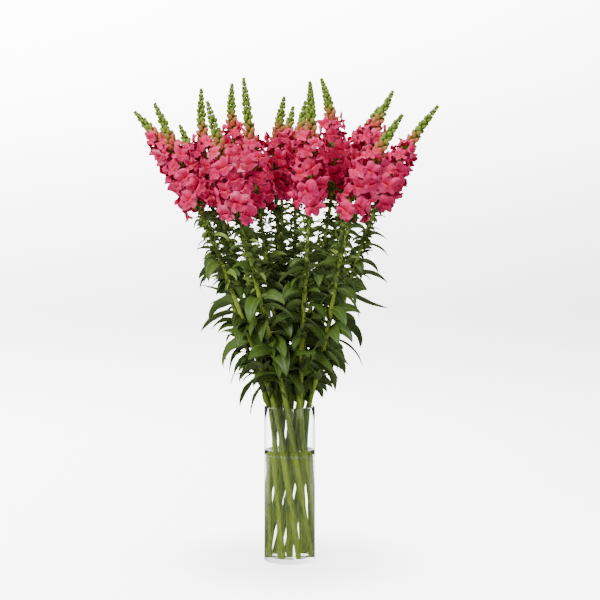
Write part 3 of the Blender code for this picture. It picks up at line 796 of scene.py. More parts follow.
@dataclass(frozen=True)
class Finish:
    """What every finish has.

    The patches are given by their scale and contrast, the lines by their count round a piece, the relief by its
    strength and depth, and the roughness by its least and what patches or lines add.
    """

    effects: Effects
    name: str = "finish"
    patch: Pair = (28.0, 2.5)
    lines: float = 9.0
    relief: Pair = (0.3, 0.2 * MM)
    rough: Pair = (0.0, 0.0)
    gloss: float = 0.3

    def make(self) -> Material:
        """Builds the material."""
        material = bpy.data.materials.new(self.name)
        material.use_nodes = True
        nodes = Nodes(material.node_tree)
        nodes.feed(material.node_tree.nodes["Principled BSDF"], self.inputs(nodes))
        return material

    def inputs(self, nodes: Nodes) -> dict:
        """What the shader gets; each finish gives its own."""
        raise NotImplementedError

    def blotches(self, nodes: Nodes, patch: Pair) -> Signal:
        """Places the blotches group on Object coordinates."""
        inputs = {"Vector": nodes.place(), "Scale": patch[0], "Contrast": patch[1]}
        return nodes.add("ShaderNodeGroup", inputs, node_tree=self.effects.blotches)

    def fibres(self, nodes: Nodes, along: Signal, across: Signal) -> Signal:
        """Places the fibres group on two attributes."""
        inputs = {"Along": along, "Across": across, "Count": self.lines}
        return nodes.add("ShaderNodeGroup", inputs, node_tree=self.effects.fibres)

    def skin(self, nodes: Nodes, colour: Signal, uneven: Signal, height: Signal) -> dict:
        """The inputs of a plant's skin: its colour, what makes it rough, its gloss and its relief."""
        return {
            "Base Color": colour,
            "Roughness": uneven * self.rough[1] + self.rough[0],
            "Specular IOR Level": self.gloss,
            "Normal": nodes.bump(height, *self.relief),
        }


@dataclass(frozen=True)
class LeafFinish(Finish):
    """Dark green blades, fresher on young leaves, with a pale midrib and side veins and a paler underside."""

    name: str = "leaf_blade"
    upper: Color = color(0.026, 0.060, 0.006)
    lit: Color = color(0.080, 0.142, 0.021)
    fresh: Color = color(0.270, 0.390, 0.060)
    lower: Color = color(0.100, 0.155, 0.038)
    vein: Color = color(0.170, 0.240, 0.050)
    patch: Pair = (60.0, 2.2)
    relief: Pair = (0.5, 0.4 * MM)
    rough: Pair = (0.34, 0.16)
    rough_below: float = 1.25
    gloss: float = 0.28
    midrib: Triple = (0.02, 0.1, 0.7)
    side_veins: Triple = (0.38, 0.5, 0.35)
    vein_count: float = 13.0
    slant: float = 2.2

    def inputs(self, nodes: Nodes) -> dict:
        """Mixes the greens by each leaf's tone and by patches, and lays the veins over them."""
        along, across, tone, under = nodes.attributes("along", "across", "tone", "under")
        patches = self.blotches(nodes, self.patch)
        blade = nodes.mix(tone * 0.6 + patches * 0.4, self.upper, self.lit)
        blade = nodes.mix(tone.ramp(1.0, 2.0), blade, self.fresh)
        side = across.math("ABSOLUTE")
        near, far, most = self.midrib
        midrib = (1.0 - side.ramp(near, far)) * most
        place = (along * self.vein_count - side * self.slant).math("FRACT")
        far, near, most = self.side_veins
        veins = midrib.math("MAXIMUM", (place - 0.5).math("ABSOLUTE").ramp(far, near) * most)
        under = under.ramp(0.4, 0.6)
        blade = nodes.mix(under, nodes.mix(veins, blade, self.vein), self.lower)
        return self.skin(nodes, blade, patches + under * self.rough_below, veins * -1.0)


@dataclass(frozen=True)
class StalkFinish(Finish):
    """Yellow-green in the water, darker by painted shade from its level to just above the rim, fresher above,
    with fine lines, the dark ones painted shade, and brown scars.
    """

    name: str = "stalk_skin"
    low: Color = color(0.370, 0.480, 0.018)
    # painted shade: the stalks darker from the water's level to just above the rim, where they crowd and shade
    # each other
    crowd_shade: Color = color(0.155, 0.240, 0.018)
    high: Color = color(0.270, 0.385, 0.036)
    pale: Color = color(0.520, 0.620, 0.110)
    # painted shade: dark lines along the stalk that stand in for the shade between stalks
    groove_shade: Color = color(0.100, 0.160, 0.008)
    scar: Color = color(0.180, 0.120, 0.035)
    relief: Pair = (0.35, 0.25 * MM)
    rough: Pair = (0.35, 0.2)
    gloss: float = 0.35
    stretch: float = 12.0
    water_end: Pair = (0.210, 0.245)
    upper_start: Pair = (0.300, 0.380)

    def inputs(self, nodes: Nodes) -> dict:
        """Goes through the greens by the share of the length, with darker grooves of painted shade
        and paler lines.
        """
        along, across, scars = nodes.attributes("along", "across", "tone")
        lines = self.fibres(nodes, along * self.stretch, across)
        patches = self.blotches(nodes, self.patch)
        # painted shade from the water's level upward, where the stalks shade each other
        body = nodes.mix(along.ramp(*self.water_end), self.low, self.crowd_shade)
        body = nodes.mix(along.ramp(*self.upper_start), body, self.high)
        # painted shade: darker lines where the fibres mask is low
        body = nodes.mix(lines.ramp(0.45, 0.0) * 0.6, body, self.groove_shade)
        lined = nodes.mix(lines.ramp(0.5, 1.0) * patches * 0.8, body, self.pale)
        return self.skin(nodes, nodes.mix(scars.ramp(0.5, 1.0), lined, self.scar), patches, lines)


@dataclass(frozen=True)
class BudFinish(Finish):
    """Buds that go from closed and yellow-green to half open and salmon, in green sepals."""

    name: str = "bud_skin"
    closed: Color = color(0.250, 0.370, 0.036)
    shaded: Color = color(0.110, 0.190, 0.016)
    half_open: Color = color(0.620, 0.170, 0.060)
    rosy: Color = color(0.700, 0.070, 0.090)
    sepal: Color = color(0.075, 0.140, 0.014)
    lines: float = 6.0
    rough: Pair = (0.42, 0.15)
    opening: Pair = (0.15, 0.75)

    def inputs(self, nodes: Nodes) -> dict:
        """Mixes green and salmon by how open the bud is."""
        names = ("along", "across", "openness", "tone", "sepal")
        along, across, openness, tone, sepal = nodes.attributes(*names)
        lines = self.fibres(nodes, along, across)
        green = nodes.mix(tone * 0.5 + lines * 0.25, self.closed, self.shaded)
        salmon = nodes.mix(along.ramp(0.35, 1.0), self.half_open, self.rosy)
        bud = nodes.mix(openness.ramp(*self.opening), green, salmon)
        return self.skin(nodes, nodes.mix(sepal, bud, self.sepal), lines, lines)


@dataclass(frozen=True)
class PetalFinish(Finish):
    """Velvety pink petals: painted shade deep in the folds, paler at the edge with a painted highlight on
    raised folds, and a brighter throat.
    """

    name: str = "petal_skin"
    # dark pink of the veins and of darker florets, also painted shade in the troughs of the ruffles
    deep_and_fold_shade: Color = color(0.370, 0.010, 0.040)
    body: Color = color(0.900, 0.010, 0.100)
    cool: Color = color(0.860, 0.012, 0.230)
    # paler margin: by tone the florets' own colour, and on raised folds a painted highlight
    edge: Color = color(1.000, 0.085, 0.300)
    # painted highlight on the raised folds near the edge of a few florets
    pale: Color = color(1.000, 0.400, 0.450)
    throat: Color = color(0.940, 0.050, 0.100)
    patch: Pair = (45.0, 2.4)
    cool_patch: Pair = (22.0, 3.5)
    lines: float = 10.0
    relief: Pair = (0.3, 0.35 * MM)
    rough: Pair = (0.52, 0.12)
    gloss: float = 0.15

    def inputs(self, nodes: Nodes) -> dict:
        """Mixes deep pink, painted shade in the folds, and lively pink by fold, tone and patches, then paints
        highlights on the edges of raised folds.
        """
        names = ("along", "across", "tone", "fold", "palate")
        along, across, tone, fold, palate = nodes.attributes(*names)
        lines = self.fibres(nodes, along, across)
        patches = self.blotches(nodes, self.patch)
        lively = nodes.mix(self.blotches(nodes, self.cool_patch) * 0.6, self.body, self.cool)
        # painted shade: the deep pink fills the troughs of the ruffles, where fold is low
        ground = nodes.mix((patches * 0.3 + tone * 0.4 + fold).ramp(0.15, 1.15), self.deep_and_fold_shade, lively)
        # painted highlight: the edge colour comes most on raised folds near the lip edge
        edged = nodes.mix(along.ramp(0.6, 1.0) * (fold * 0.6 + tone * 0.4), ground, self.edge)
        # painted highlight: pale pink on the crests near the edge of a few florets
        crest_highlight = tone.ramp(0.86, 1.0) * along.ramp(0.55, 0.95) * fold * 0.8
        veined = nodes.mix(lines * 0.3, nodes.mix(crest_highlight, edged, self.pale), self.deep_and_fold_shade)
        return self.skin(nodes, nodes.mix(palate * 0.75, veined, self.throat), lines, lines + patches)


@dataclass(frozen=True)
class GlassFinish(Finish):
    """Clear thin glass with the faintest waves of a drawn cylinder."""

    name: str = "vase_glass"
    tint: Color = color(0.965, 0.985, 0.975)
    bending: float = 1.45
    patch: Pair = (9.0, 1.2)
    relief: Pair = (0.12, 0.3 * MM)

    def inputs(self, nodes: Nodes) -> dict:
        """Lets all light through and waves the surface a little."""
        waves = nodes.bump(self.blotches(nodes, self.patch), *self.relief)
        clear = {"Base Color": self.tint, "Roughness": 0.0, "Transmission Weight": 1.0}
        return {**clear, "IOR": self.bending, "Normal": waves}


@dataclass(frozen=True)
class WaterFinish(Finish):
    """Still water with a trace of green from the cut stems."""

    name: str = "vase_water"
    tint: Color = color(0.930, 0.970, 0.900)
    cloud: Color = color(0.900, 0.950, 0.850)
    bending: float = 1.333
    patch: Pair = (14.0, 1.6)

    def inputs(self, nodes: Nodes) -> dict:
        """Lets all light through, a little less where it is cloudy."""
        cloudy = nodes.mix(self.blotches(nodes, self.patch), self.tint, self.cloud)
        return {"Base Color": cloudy, "Roughness": 0.0, "Transmission Weight": 1.0, "IOR": self.bending}


# The vase and its water


def revolve(profile: Array, sides: int) -> Array:
    """Carries a profile of radius and height round the axis.

    Each point is the radius times the cosine and the sine of the turn, and the height.

    Args:
        profile: its points, as points by 2.
        sides: points in each ring.

    Returns:
        The rings, as points by sides by 3.
    """
    turn = round_turns(sides)
    radius, height = profile[:, :1], profile[:, 1:]
    return np.stack(np.broadcast_arrays(radius * np.cos(turn), radius * np.sin(turn), height), axis=-1)


def arc(centre: Pair, radius: float, start: float, end: float, steps: int = 6) -> Array:
    """Points of an arc in the plane of radius and height, its angles in degrees."""
    angle = np.radians(np.linspace(start, end, steps))
    return np.stack([centre[0] + radius * np.cos(angle), centre[1] + radius * np.sin(angle)], axis=-1)


def on_axis(*heights: float) -> Array:
    """Points on the vase's axis, as one copy."""
    return np.array([[[0.0, 0.0, height] for height in heights]])


@dataclass(frozen=True)
class Vase:
    """A clear cylinder with a thin wall, a thick base with a round inner corner, and a round rim."""

    sizes: VaseSizes = VASE
    sides: int = 96
    foot_round: float = 2.2 * MM
    corner: float = 4.0 * MM
    flat_rings: Pair = (0.4, 0.8)
    wall_rings: Triple = (0.1, 0.9, 9)
    floor_rings: Pair = (0.6, 0.3)

    def profile(self) -> Array:
        """The section from the middle of the underside, out, up, over the rim and down to the inner floor."""
        s = self.sizes
        inside, lip = s.radius - s.wall, s.wall / 2
        flat, floor = (
            np.stack([np.array(rings) * s.radius, np.full(len(rings), height)], axis=-1)
            for rings, height in ((self.flat_rings, 0.0), (self.floor_rings, s.base))
        )
        foot = arc((s.radius - self.foot_round, self.foot_round), self.foot_round, -90, 0)
        walls = np.linspace(*self.wall_rings) * s.height
        outer = np.stack([np.full(len(walls), s.radius), walls], axis=-1)
        rim = arc((s.radius - lip, s.height - lip), lip, 0, 180)
        inner = np.stack([np.full(len(walls), inside), walls[::-1]], axis=-1)
        corner = arc((inside - self.corner, s.base + self.corner), self.corner, 0, -90)
        return np.concatenate([flat, foot, outer, rim, inner, corner, floor])

    def make(self, material: Material) -> None:
        """Makes the glass as one turned piece."""
        mesh = Mesh()
        mesh.add_tubes(revolve(self.profile(), self.sides)[None], on_axis(0.0, self.sizes.base))
        mesh.piece("vase_glass", material, "glass", "vase")


@dataclass(frozen=True)
class Water:
    """The fill of the vase: it wets the glass, so it creeps up the wall and up each stalk a little."""

    sizes: VaseSizes = VASE
    sides: int = 96
    floor_ring: float = 0.5
    wall_rings: Triple = (0.25, 0.95, 5)
    surface_rings: Triple = (1, 0.04, 22)
    crowding: float = 0.8
    corner: float = 4.0 * MM
    wet: float = 0.15 * MM
    wall_creep: float = 2.6 * MM
    stalk_creep: float = 1.8 * MM
    creep_reach: float = 2.2 * MM

    def make(self, stalks: list[Stalk], material: Material) -> None:
        """Makes a cylinder whose top rises by creep times exp(-distance / reach) at the wall and the stalks.

        Args:
            stalks: what stands in the water.
            material: clear water.
        """
        s = self.sizes
        reach, floor = s.radius - s.wall + self.wet, s.base - self.wet
        low = arc((reach - self.corner, floor + self.corner), self.corner, -90, 0)
        levels = np.linspace(*self.wall_rings) * s.water_level
        wall = np.stack([np.full(len(levels), reach), levels], axis=-1)
        body = revolve(np.concatenate([[[self.floor_ring * reach, floor]], low, wall]), self.sides)
        out = reach * np.linspace(*self.surface_rings) ** self.crowding
        surface = revolve(np.stack([out, np.full(len(out), s.water_level)], axis=-1), self.sides)
        height = self.wall_creep * np.exp((out[:, None] - reach) / self.creep_reach) * np.ones(self.sides)
        for stalk in stalks:
            away = np.linalg.norm(surface[..., :2] - stalk.across(s.water_level)[:2], axis=-1)
            away = np.maximum(away - stalk.radius(stalk.bend), 0)
            height = np.maximum(height, self.stalk_creep * np.exp(-away / self.creep_reach))
        surface[..., 2] += height
        mesh = Mesh()
        mesh.add_tubes(np.concatenate([body, surface])[None], on_axis(floor, s.water_level))
        mesh.piece("vase_water", material, "water", "water")


# The florets


@dataclass(frozen=True)
class Floret:
    """A two-lipped corolla whose mouth is closed, as rings round its axis from the foot to the lobes and back.

    The outer surface starts at the foot, widens into a belly and narrows to the mouth, a flat slit. Beyond it
    the surface runs on by a length in millimetres that five lobes and the clefts between them give, two lobes
    up and three down, at turns in degrees from the top. Its slope against the axis turns from forwards to
    backwards on the upper lip, and from forwards over the swollen palate to downwards on the lower one. Three
    waves of the turn ruffle it, more towards the edge. The inner surface is the same, a petal's thickness in
    front.
    """

    columns: int = 33
    rows: int = 5
    length: float = 15 * MM
    mouth: Pair = (6.5 * MM, 0.7 * MM)
    mouth_height: float = 1.5 * MM
    belly: float = 4.8 * MM
    narrow: float = 0.86
    lobe_turns: tuple[float, ...] = (27, 120, 180)
    lobe_widths: tuple[float, ...] = (35, 32, 28)
    lobe_lengths: tuple[float, ...] = (21, 18, 19)
    cleft_turns: tuple[float, ...] = (0, 40, 75, 100, 150, 180)
    clefts: tuple[float, ...] = (11, 11, 6, 8, 11, 14)
    lip_turns: Pair = (60, 100)
    upper_slope: Triple = (30, 105, 0.8)
    lower_slope: tuple[float, ...] = (4, 98, 0.42, 22)
    palate: float = 2.2 * MM
    palate_place: Pair = (0.2, 0.16)
    palate_turns: Pair = (52, 13)
    ruffles: tuple[Pair, ...] = ((2.9 * MM, 1.5), (1.6 * MM, 2.0), (3.2 * MM, 1.2))
    waves: tuple[int, ...] = (6, 10, 3)
    drift: float = 2.5
    ruffle_spread: Pair = (0.7, 1.3)
    nod: Pair = (-0.45, 0.35)
    thickness: Pair = (0.54 * MM, 0.225 * MM)

    def ends(self) -> tuple[Array, Array, Array]:
        """Where the two surfaces end: the outer one at the foot and the inner one inside the tube."""
        return np.array([0.0, 0.6 * self.length]), np.zeros(2), np.zeros(2)

    def surface(self, rng: np.random.Generator, copies: int) -> tuple[Array, ...]:
        """Works out all rings.

        Args:
            rng: draws the phases of the ruffles.
            copies: how many florets.

        Returns:
            Out, up and across for each copy, ring and turn; for each ring and turn the share of the way to the
            edge and how far it is on the palate; and for each copy, ring and turn how high it is on a fold.
        """
        turn = round_turns(self.columns)
        degrees = np.degrees(np.abs((turn + math.pi) % math.tau - math.pi))
        lobes = (self.lobe_turns, self.lobe_widths, self.lobe_lengths)
        centres, widths, lengths = (np.array(row)[:, None] for row in lobes)
        cleft = np.interp(degrees, self.cleft_turns, self.clefts)
        round_lobes = np.cos(np.clip((degrees - centres) / widths, -1, 1) * math.pi / 2) ** 0.5
        run = (cleft + (np.maximum(lengths - cleft, 0) * round_lobes).max(axis=0)) * MM
        upper = 1 - smooth(*self.lip_turns, degrees)
        steps = (np.arange(self.rows + 1) / self.rows)[:, None] ** 0.9
        edge, middle = steps[1:], (steps[1:] + steps[:-1]) / 2
        first, more, end, less = self.lower_slope
        lower_slope = first + more * smooth(0.0, end, middle) - less * middle
        first, more, power = self.upper_slope
        slope = np.radians(upper * (first + more * middle**power) + (1 - upper) * lower_slope)
        step = np.diff(steps, axis=0) * run
        below = 180 - degrees
        place, width = self.palate_place
        whole_turn, furrow = self.palate_turns
        palate = bell(edge - place, width) * bell(below, whole_turn) * (1 - 0.5 * bell(below, furrow))
        out = self.length + np.cumsum(np.cos(slope) * step, axis=0) + self.palate * palate
        wide = np.cumsum(np.sin(slope) * step, axis=0)
        phase = rng.uniform(0, math.tau, (3, copies, 1, 1))
        amount = rng.uniform(*self.ruffle_spread, (copies, 1, 1))
        wave = amount * sum(
            size * edge**power * np.sin(count * turn + self.drift * edge + start)
            for (size, power), count, start in zip(self.ruffles, self.waves, phase)
        )
        nod = rng.uniform(*self.nod, (copies, 1, 1)) * upper * edge * run
        fold = 0.5 + 0.5 * np.tanh(wave / self.ruffles[0][0])
        lip_out = out - np.sin(slope) * wave + nod
        lip_wide = wide + np.cos(slope) * wave
        thick = self.thickness[0] - self.thickness[1] * edge
        front_out, front_wide = lip_out + np.sin(slope) * thick, lip_wide - np.cos(slope) * thick
        half, gap = self.mouth
        sides, ups = np.array([[self.belly], [half]]), np.array([[self.belly], [gap]])
        tube_out = np.array([[0.5 * self.length], [self.length]]) * np.ones(self.columns)
        tube_up = ups * np.cos(turn) + np.array([[0.0], [self.mouth_height]])
        tube_across = sides * np.sin(turn)

        def whole(tube: Array, back: Array, front: Array, last: Array) -> Array:
            """The rings of the tube, the outer lip, the inner lip and the one inside the mouth."""
            tube, last = (np.broadcast_to(rings, (copies, *rings.shape)) for rings in (tube, last))
            return np.concatenate([tube, back, front[:, ::-1], last], axis=1)

        def up(distance: Array) -> Array:
            """Up on a lip at this distance from the slit."""
            return self.mouth_height + (gap + distance) * np.cos(turn)

        def across(distance: Array) -> Array:
            """Across on a lip at this distance from the slit."""
            return (half + self.narrow * distance) * np.sin(turn)

        plain = np.full((2, self.columns), 0.3)
        share = np.concatenate([[[0.15], [0.35]], 0.35 + 0.65 * edge, 0.35 + 0.65 * edge[::-1], [[0.3]]])
        return (
            whole(tube_out, lip_out, front_out, tube_out[1:] + 0.3 * MM),
            whole(tube_up, up(lip_wide), up(front_wide), tube_up[1:]),
            whole(tube_across, across(lip_wide), across(front_wide), 0.9 * tube_across[1:]),
            share,
            np.concatenate([0 * plain, palate, palate[::-1], 0 * plain[1:]]),
            whole(plain, 1 - fold, fold, plain[1:]),
        )


# The stems


@dataclass(frozen=True)
class LeafBand:
    """One kind of smaller leaf along a stretch of the stalk; lengths in millimetres, angles in radians.

    A leaf is shorter by the taper towards the head of the stretch, and as wide as a share of its length. Some
    grow in tufts, of a number in a range, fanned out round the stalk and a little up and down it.
    """

    count: int
    spacing: Pair
    length: Pair
    taper: Pair
    turn: float
    turn_spread: float
    rise: Pair
    fall: Pair
    width: Pair
    roll: float
    tuft: tuple[int, int] | None = None
    fan: float = 0.9
    shift: float = 5.0


MIDDLE_LEAVES = LeafBand(
    16, (0.1, 0.9), (30, 54), (1.1, 0.3), 0.4, 0.3, (0.5, 1.1), (0.8, 2.2), (0.18, 0.27), roll=1.2
)
TUFTS = LeafBand(
    27, (0.2, 0.8), (10, 24), (1.2, 0.3), 1.1, 0.5, (-0.2, 1.3), (0.2, 2.2), (0.30, 0.42), 1.5, tuft=(4, 7)
)
LOW_LEAVES = LeafBand(
    5, (0.1, 0.9), (34, 56), (1.0, 0.0), 2.0, 0.0, (0.9, 1.3), (0.2, 0.9), (0.24, 0.34), roll=1.3
)


@dataclass
class Stem:
    """One stem: its stalk, its leaves, its buds and its florets with their cups."""

    stalk: Stalk
    stalks: list[Stalk]
    big_leaves: list[Leaf]
    number: int
    stalk_sides: int = 10
    stalk_step: float = 4 * MM
    node_swell: float = 0.16
    node_reach: float = 4 * MM
    stout_heights: tuple[float, ...] = (0.1, 0.3, 1.0, 1.4)
    stoutness: tuple[float, ...] = (1.28, 1.36, 1.36, 1.3)
    scar_step: float = 41 * MM
    scar_size: Triple = (0.9 * MM, 3.5 * MM, 0.6)
    rib: tuple[int, float, float] = (4, 3.0, 0.05)
    big_grid: tuple[int, int] = (12, 7)
    small_grid: tuple[int, int] = (8, 5)
    tuft_grid: tuple[int, int] = (6, 3)
    blade_waves: tuple[tuple[float, ...], ...] = ((0.07, 9, 1.6, 1.5), (0.05, 17, -2.0, 2.0))
    blade_fold: Pair = (0.20, 1.3)
    channel: Pair = (0.05, 0.12)
    blade_gain: float = 1.16
    leaf_thickness: float = 0.45 * MM
    top_leaf_count: int = 5
    top_leaf_length: Pair = (25.65 * MM, 13.3 * MM)
    bud_grid: tuple[int, int] = (7, 9)
    bud_pitch: float = 7.4 * MM
    bud_size: Pair = (11.5 * MM, 5.0 * MM)
    bud_root: float = 5.5 * MM
    bud_taper: Pair = (0.55, 1.8)
    bud_tilt: Pair = (0.36, 0.7)
    bud_crowding: float = 1.25
    half_open: int = 18
    half_open_length: Pair = (19 * MM, 6 * MM)
    half_open_radius: Pair = (6.2 * MM, 1.6 * MM)
    half_open_tilt: Pair = (0.3, 0.4)
    half_open_overlap: Pair = (10 * MM, 2 * MM)
    cup_size: Pair = (13 * MM, 3.6 * MM)
    florets: int = 24
    floret_start: float = 5.5 * MM
    floret_size: Pair = (1.16, 0.34)
    size_spread: Pair = (0.88, 1.08)
    floret_tilt: Pair = (-20, 48)
    tilt_spread: float = 0.3
    roll_spread: float = 0.38

    def __post_init__(self) -> None:
        """Starts the draws: the first gives what the solids draw too, the second everything finer."""
        self.draw = random.Random(SEED + self.number)
        self.rng = np.random.default_rng(SEED + self.number)

    def piece(self, mesh: Mesh, kind: str, material: Material) -> None:
        """Makes one piece of this stem: florets and cups stand for its bloom, and the rest for the stem."""
        slot = "petals" if kind == "florets" else "greens"
        node = "bloom" if kind in ("florets", "cups") else "stem"
        number = self.stalk.plan.number
        mesh.piece(f"{kind}_{number}", material, slot, f"{node}_{number}")

    def top_leaves(self) -> list[Leaf]:
        """The narrow leaves between the large ones and the florets, drawn as the solids draw them."""
        low, high = self.stalk.length_at(0.590), self.stalk.bloom - SPIKE.margin
        leaves = []
        longest, less = self.top_leaf_length
        for step in range(self.top_leaf_count):
            share = (step + 0.5) / self.top_leaf_count
            length = (longest - less * share) * self.draw.uniform(0.85, 1.15)
            turn = step * GOLDEN_TURN + self.draw.uniform(-0.3, 0.3)
            angles = [math.radians(self.draw.uniform(*limits)) for limits in ((40, 60), (30, 60), (-40, 40))]
            leaves.append(Leaf(self.stalk, between(low, high, share), turn, length, length * 0.2, *angles))
        return leaves

    def band_leaves(self, band: LeafBand, place: Callable[[float], float]) -> list[Leaf]:
        """Draws the leaves of one band in a spiral.

        Args:
            band: their number, sizes and angles.
            place: gives the length along the stalk at a share of the band.

        Returns:
            The leaves.
        """
        uniform, leaves = self.rng.uniform, []
        for step in range(band.count):
            share = (step + uniform(*band.spacing)) / band.count
            for nth in range(int(self.rng.integers(*band.tuft)) if band.tuft else 1):
                length = uniform(*band.length) * MM * (band.taper[0] - band.taper[1] * share)
                turn = step * GOLDEN_TURN + band.turn + ((nth - 2) * band.fan if band.tuft else 0.0)
                if band.turn_spread:
                    turn += uniform(-band.turn_spread, band.turn_spread)
                rise, fall = uniform(*band.rise), uniform(*band.fall)
                along = place(share) + (uniform(-band.shift, band.shift) * MM if band.tuft else 0.0)
                width = length * uniform(*band.width)
                roll = uniform(-band.roll, band.roll)
                leaves.append(Leaf(self.stalk, along, turn, length, width, rise, fall, roll))
        return leaves

    def add_leaf(self, mesh: Mesh, leaf: Leaf, grid: tuple[int, int], fresh: float) -> None:
        """Adds one blade as a thin shell.

        Across the blade the height is the fold, which grows with the distance from the midrib, less a channel
        on the midrib, plus waves that grow towards the edge. The shell is thickest at the midrib.

        Args:
            mesh: what it is added to.
            leaf: where it lies.
            grid: points along it and across it.
            fresh: 0 for a dark broad leaf and 1 for the youngest ones.
        """
        rows, columns = grid
        share = np.linspace(0.0, 1.0, rows)[:, None] ** 0.9
        middle, side, below = leaf.midrib(share[:, 0])
        half = np.maximum(self.blade_gain * leaf.half_width(share), 0.25 * MM)
        across = np.linspace(-1, 1, columns)[None]
        phase = self.rng.uniform(0, math.tau, 2)
        waves = sum(
            size * np.sin(count * share + start + lag * across) * np.abs(across) ** power
            for (size, count, lag, power), start in zip(self.blade_waves, phase)
        )
        fold = self.blade_fold[0] * np.abs(across) ** self.blade_fold[1]
        lift = half * (fold - self.channel[0] * bell(across, self.channel[1]) + waves)
        points = middle[:, None] + (half * across)[..., None] * side[:, None] - lift[..., None] * below[:, None]
        ridge = (0.35 + 0.65 * (1 - across**2)) * (1.0 + 1.2 * bell(across, 0.1))
        under = points + (self.leaf_thickness * ridge * np.ones_like(half))[..., None] * below[:, None]
        along, sideways = np.broadcast_arrays(share, across)
        mesh.add(
            np.stack([points, under]).reshape(1, -1, 3),
            shell_faces(rows, columns),
            along=np.tile(along.ravel(), 2),
            across=np.tile(sideways.ravel(), 2),
            under=np.repeat([0.0, 1.0], rows * columns),
            tone=self.rng.uniform(0, 1) + fresh,
        )

    def make_leaves(self, material: Material) -> None:
        """Makes all the stem's leaves as one piece."""
        mesh, stalk = Mesh(), self.stalk

        def stretch(height: float, below_bloom: float) -> Callable[[float], float]:
            """Places a band between a height and a distance below the florets."""
            low, high = stalk.length_at(height), stalk.bloom - below_bloom
            return lambda share: between(low, high, share)

        for leaf in self.big_leaves:
            self.add_leaf(mesh, leaf, self.big_grid, 0.35 * float(smooth(0.46, 0.60, stalk.at(leaf.along)[2])))
        for leaf in self.top_leaves() + self.band_leaves(MIDDLE_LEAVES, stretch(0.540, 12 * MM)):
            self.add_leaf(mesh, leaf, self.small_grid, 0.6)
        for leaf in self.band_leaves(TUFTS, stretch(0.530, -8 * MM)):
            self.add_leaf(mesh, leaf, self.tuft_grid, 0.7)
        for leaf in self.band_leaves(LOW_LEAVES, lambda share: stalk.length_at(0.300 + 0.075 * share)):
            self.add_leaf(mesh, leaf, self.small_grid, 0.0)
        self.piece(mesh, "leaves", material)

    def make_stalk(self, material: Material) -> None:
        """Makes the stalk: a tube with low ribs, a swelling at each leaf, and a scar where one was cut off.

        The radius is the stalk's own times its stoutness, times one plus a bell round each leaf's root, times
        one plus a cosine of four turns, plus a bell round each scar.
        """
        stalk, scar_step = self.stalk, self.scar_step
        along = np.linspace(0, stalk.length, int(stalk.length / self.stalk_step) + 1)
        side, front, onward = stalk.frame(along)
        turn = round_turns(self.stalk_sides)
        roots = np.array([leaf.along for leaf in self.big_leaves])
        swell = bell(along[:, None] - roots, self.node_reach).sum(axis=1)
        ribs, winding, low = self.rib
        ribbed = 1 + low * np.cos(ribs * turn + winding * along[:, None])
        stout = np.interp(along, np.array(self.stout_heights) * stalk.bend, self.stoutness)
        radius = (stout * stalk.radius(along) * (1 + self.node_swell * np.minimum(swell, 1)))[:, None] * ribbed
        scars = np.arange(1.5 * scar_step, stalk.bend + 3 * scar_step, scar_step)
        scars = scars + self.rng.uniform(-0.3, 0.3, len(scars)) * scar_step
        scar_turns = np.arange(len(scars)) * GOLDEN_TURN + self.number
        off = (turn - scar_turns[:, None] + math.pi) % math.tau - math.pi
        height, reach, turn_reach = self.scar_size
        scarred = np.einsum("si,sj->ij", bell(along - scars[:, None], reach), bell(off, turn_reach))
        radius = radius + height * scarred
        spokes = np.cos(turn)[:, None] * side[:, None] + np.sin(turn)[:, None] * front[:, None]
        rings = stalk.at(along)[:, None] + radius[..., None] * spokes
        floor = VASE.base + VASE.gap
        rings[0] -= onward[0] * ((rings[0, :, 2:] - floor) / onward[0, 2])
        ends = np.stack([rings[0].mean(axis=0), stalk.at(stalk.length) + onward[-1] * MM])
        mesh = Mesh()
        mesh.add_tubes(
            rings[None],
            ends[None],
            along=((along / stalk.length)[:, None], 0.0, 1.0),
            across=(turn / math.pi, 0.0, 0.0),
            tone=(scarred, 0.0, 0.0),
        )
        self.piece(mesh, "stalk", material)

    def poses(self, along: Array, turn: Array, start: Array, tilt: Array, roll: float | Array = 0.0) -> Poses:
        """Poses of things that grow out of the stalk.

        Args:
            along: their lengths on the stalk.
            turn: their turns round it.
            start: how far from the centre line they begin.
            tilt: how far they point up from the outward direction, in radians.
            roll: how far they are turned about their own axis, in radians.

        Returns:
            The poses; forward is out along the thing, up is away from the ground.
        """
        side, front, onward = self.stalk.frame(along)
        parts = (turn, start, tilt, roll)
        turn, start, tilt, roll = (np.broadcast_to(part, along.shape)[:, None] for part in parts)
        outward = np.cos(turn) * side + np.sin(turn) * front
        forward = np.cos(tilt) * outward + np.sin(tilt) * onward
        up = np.cos(tilt) * onward - np.sin(tilt) * outward
        up = np.cos(roll) * up + np.sin(roll) * np.cross(up, forward)
        return Poses(self.stalk.at(along) + start * outward, forward, up)

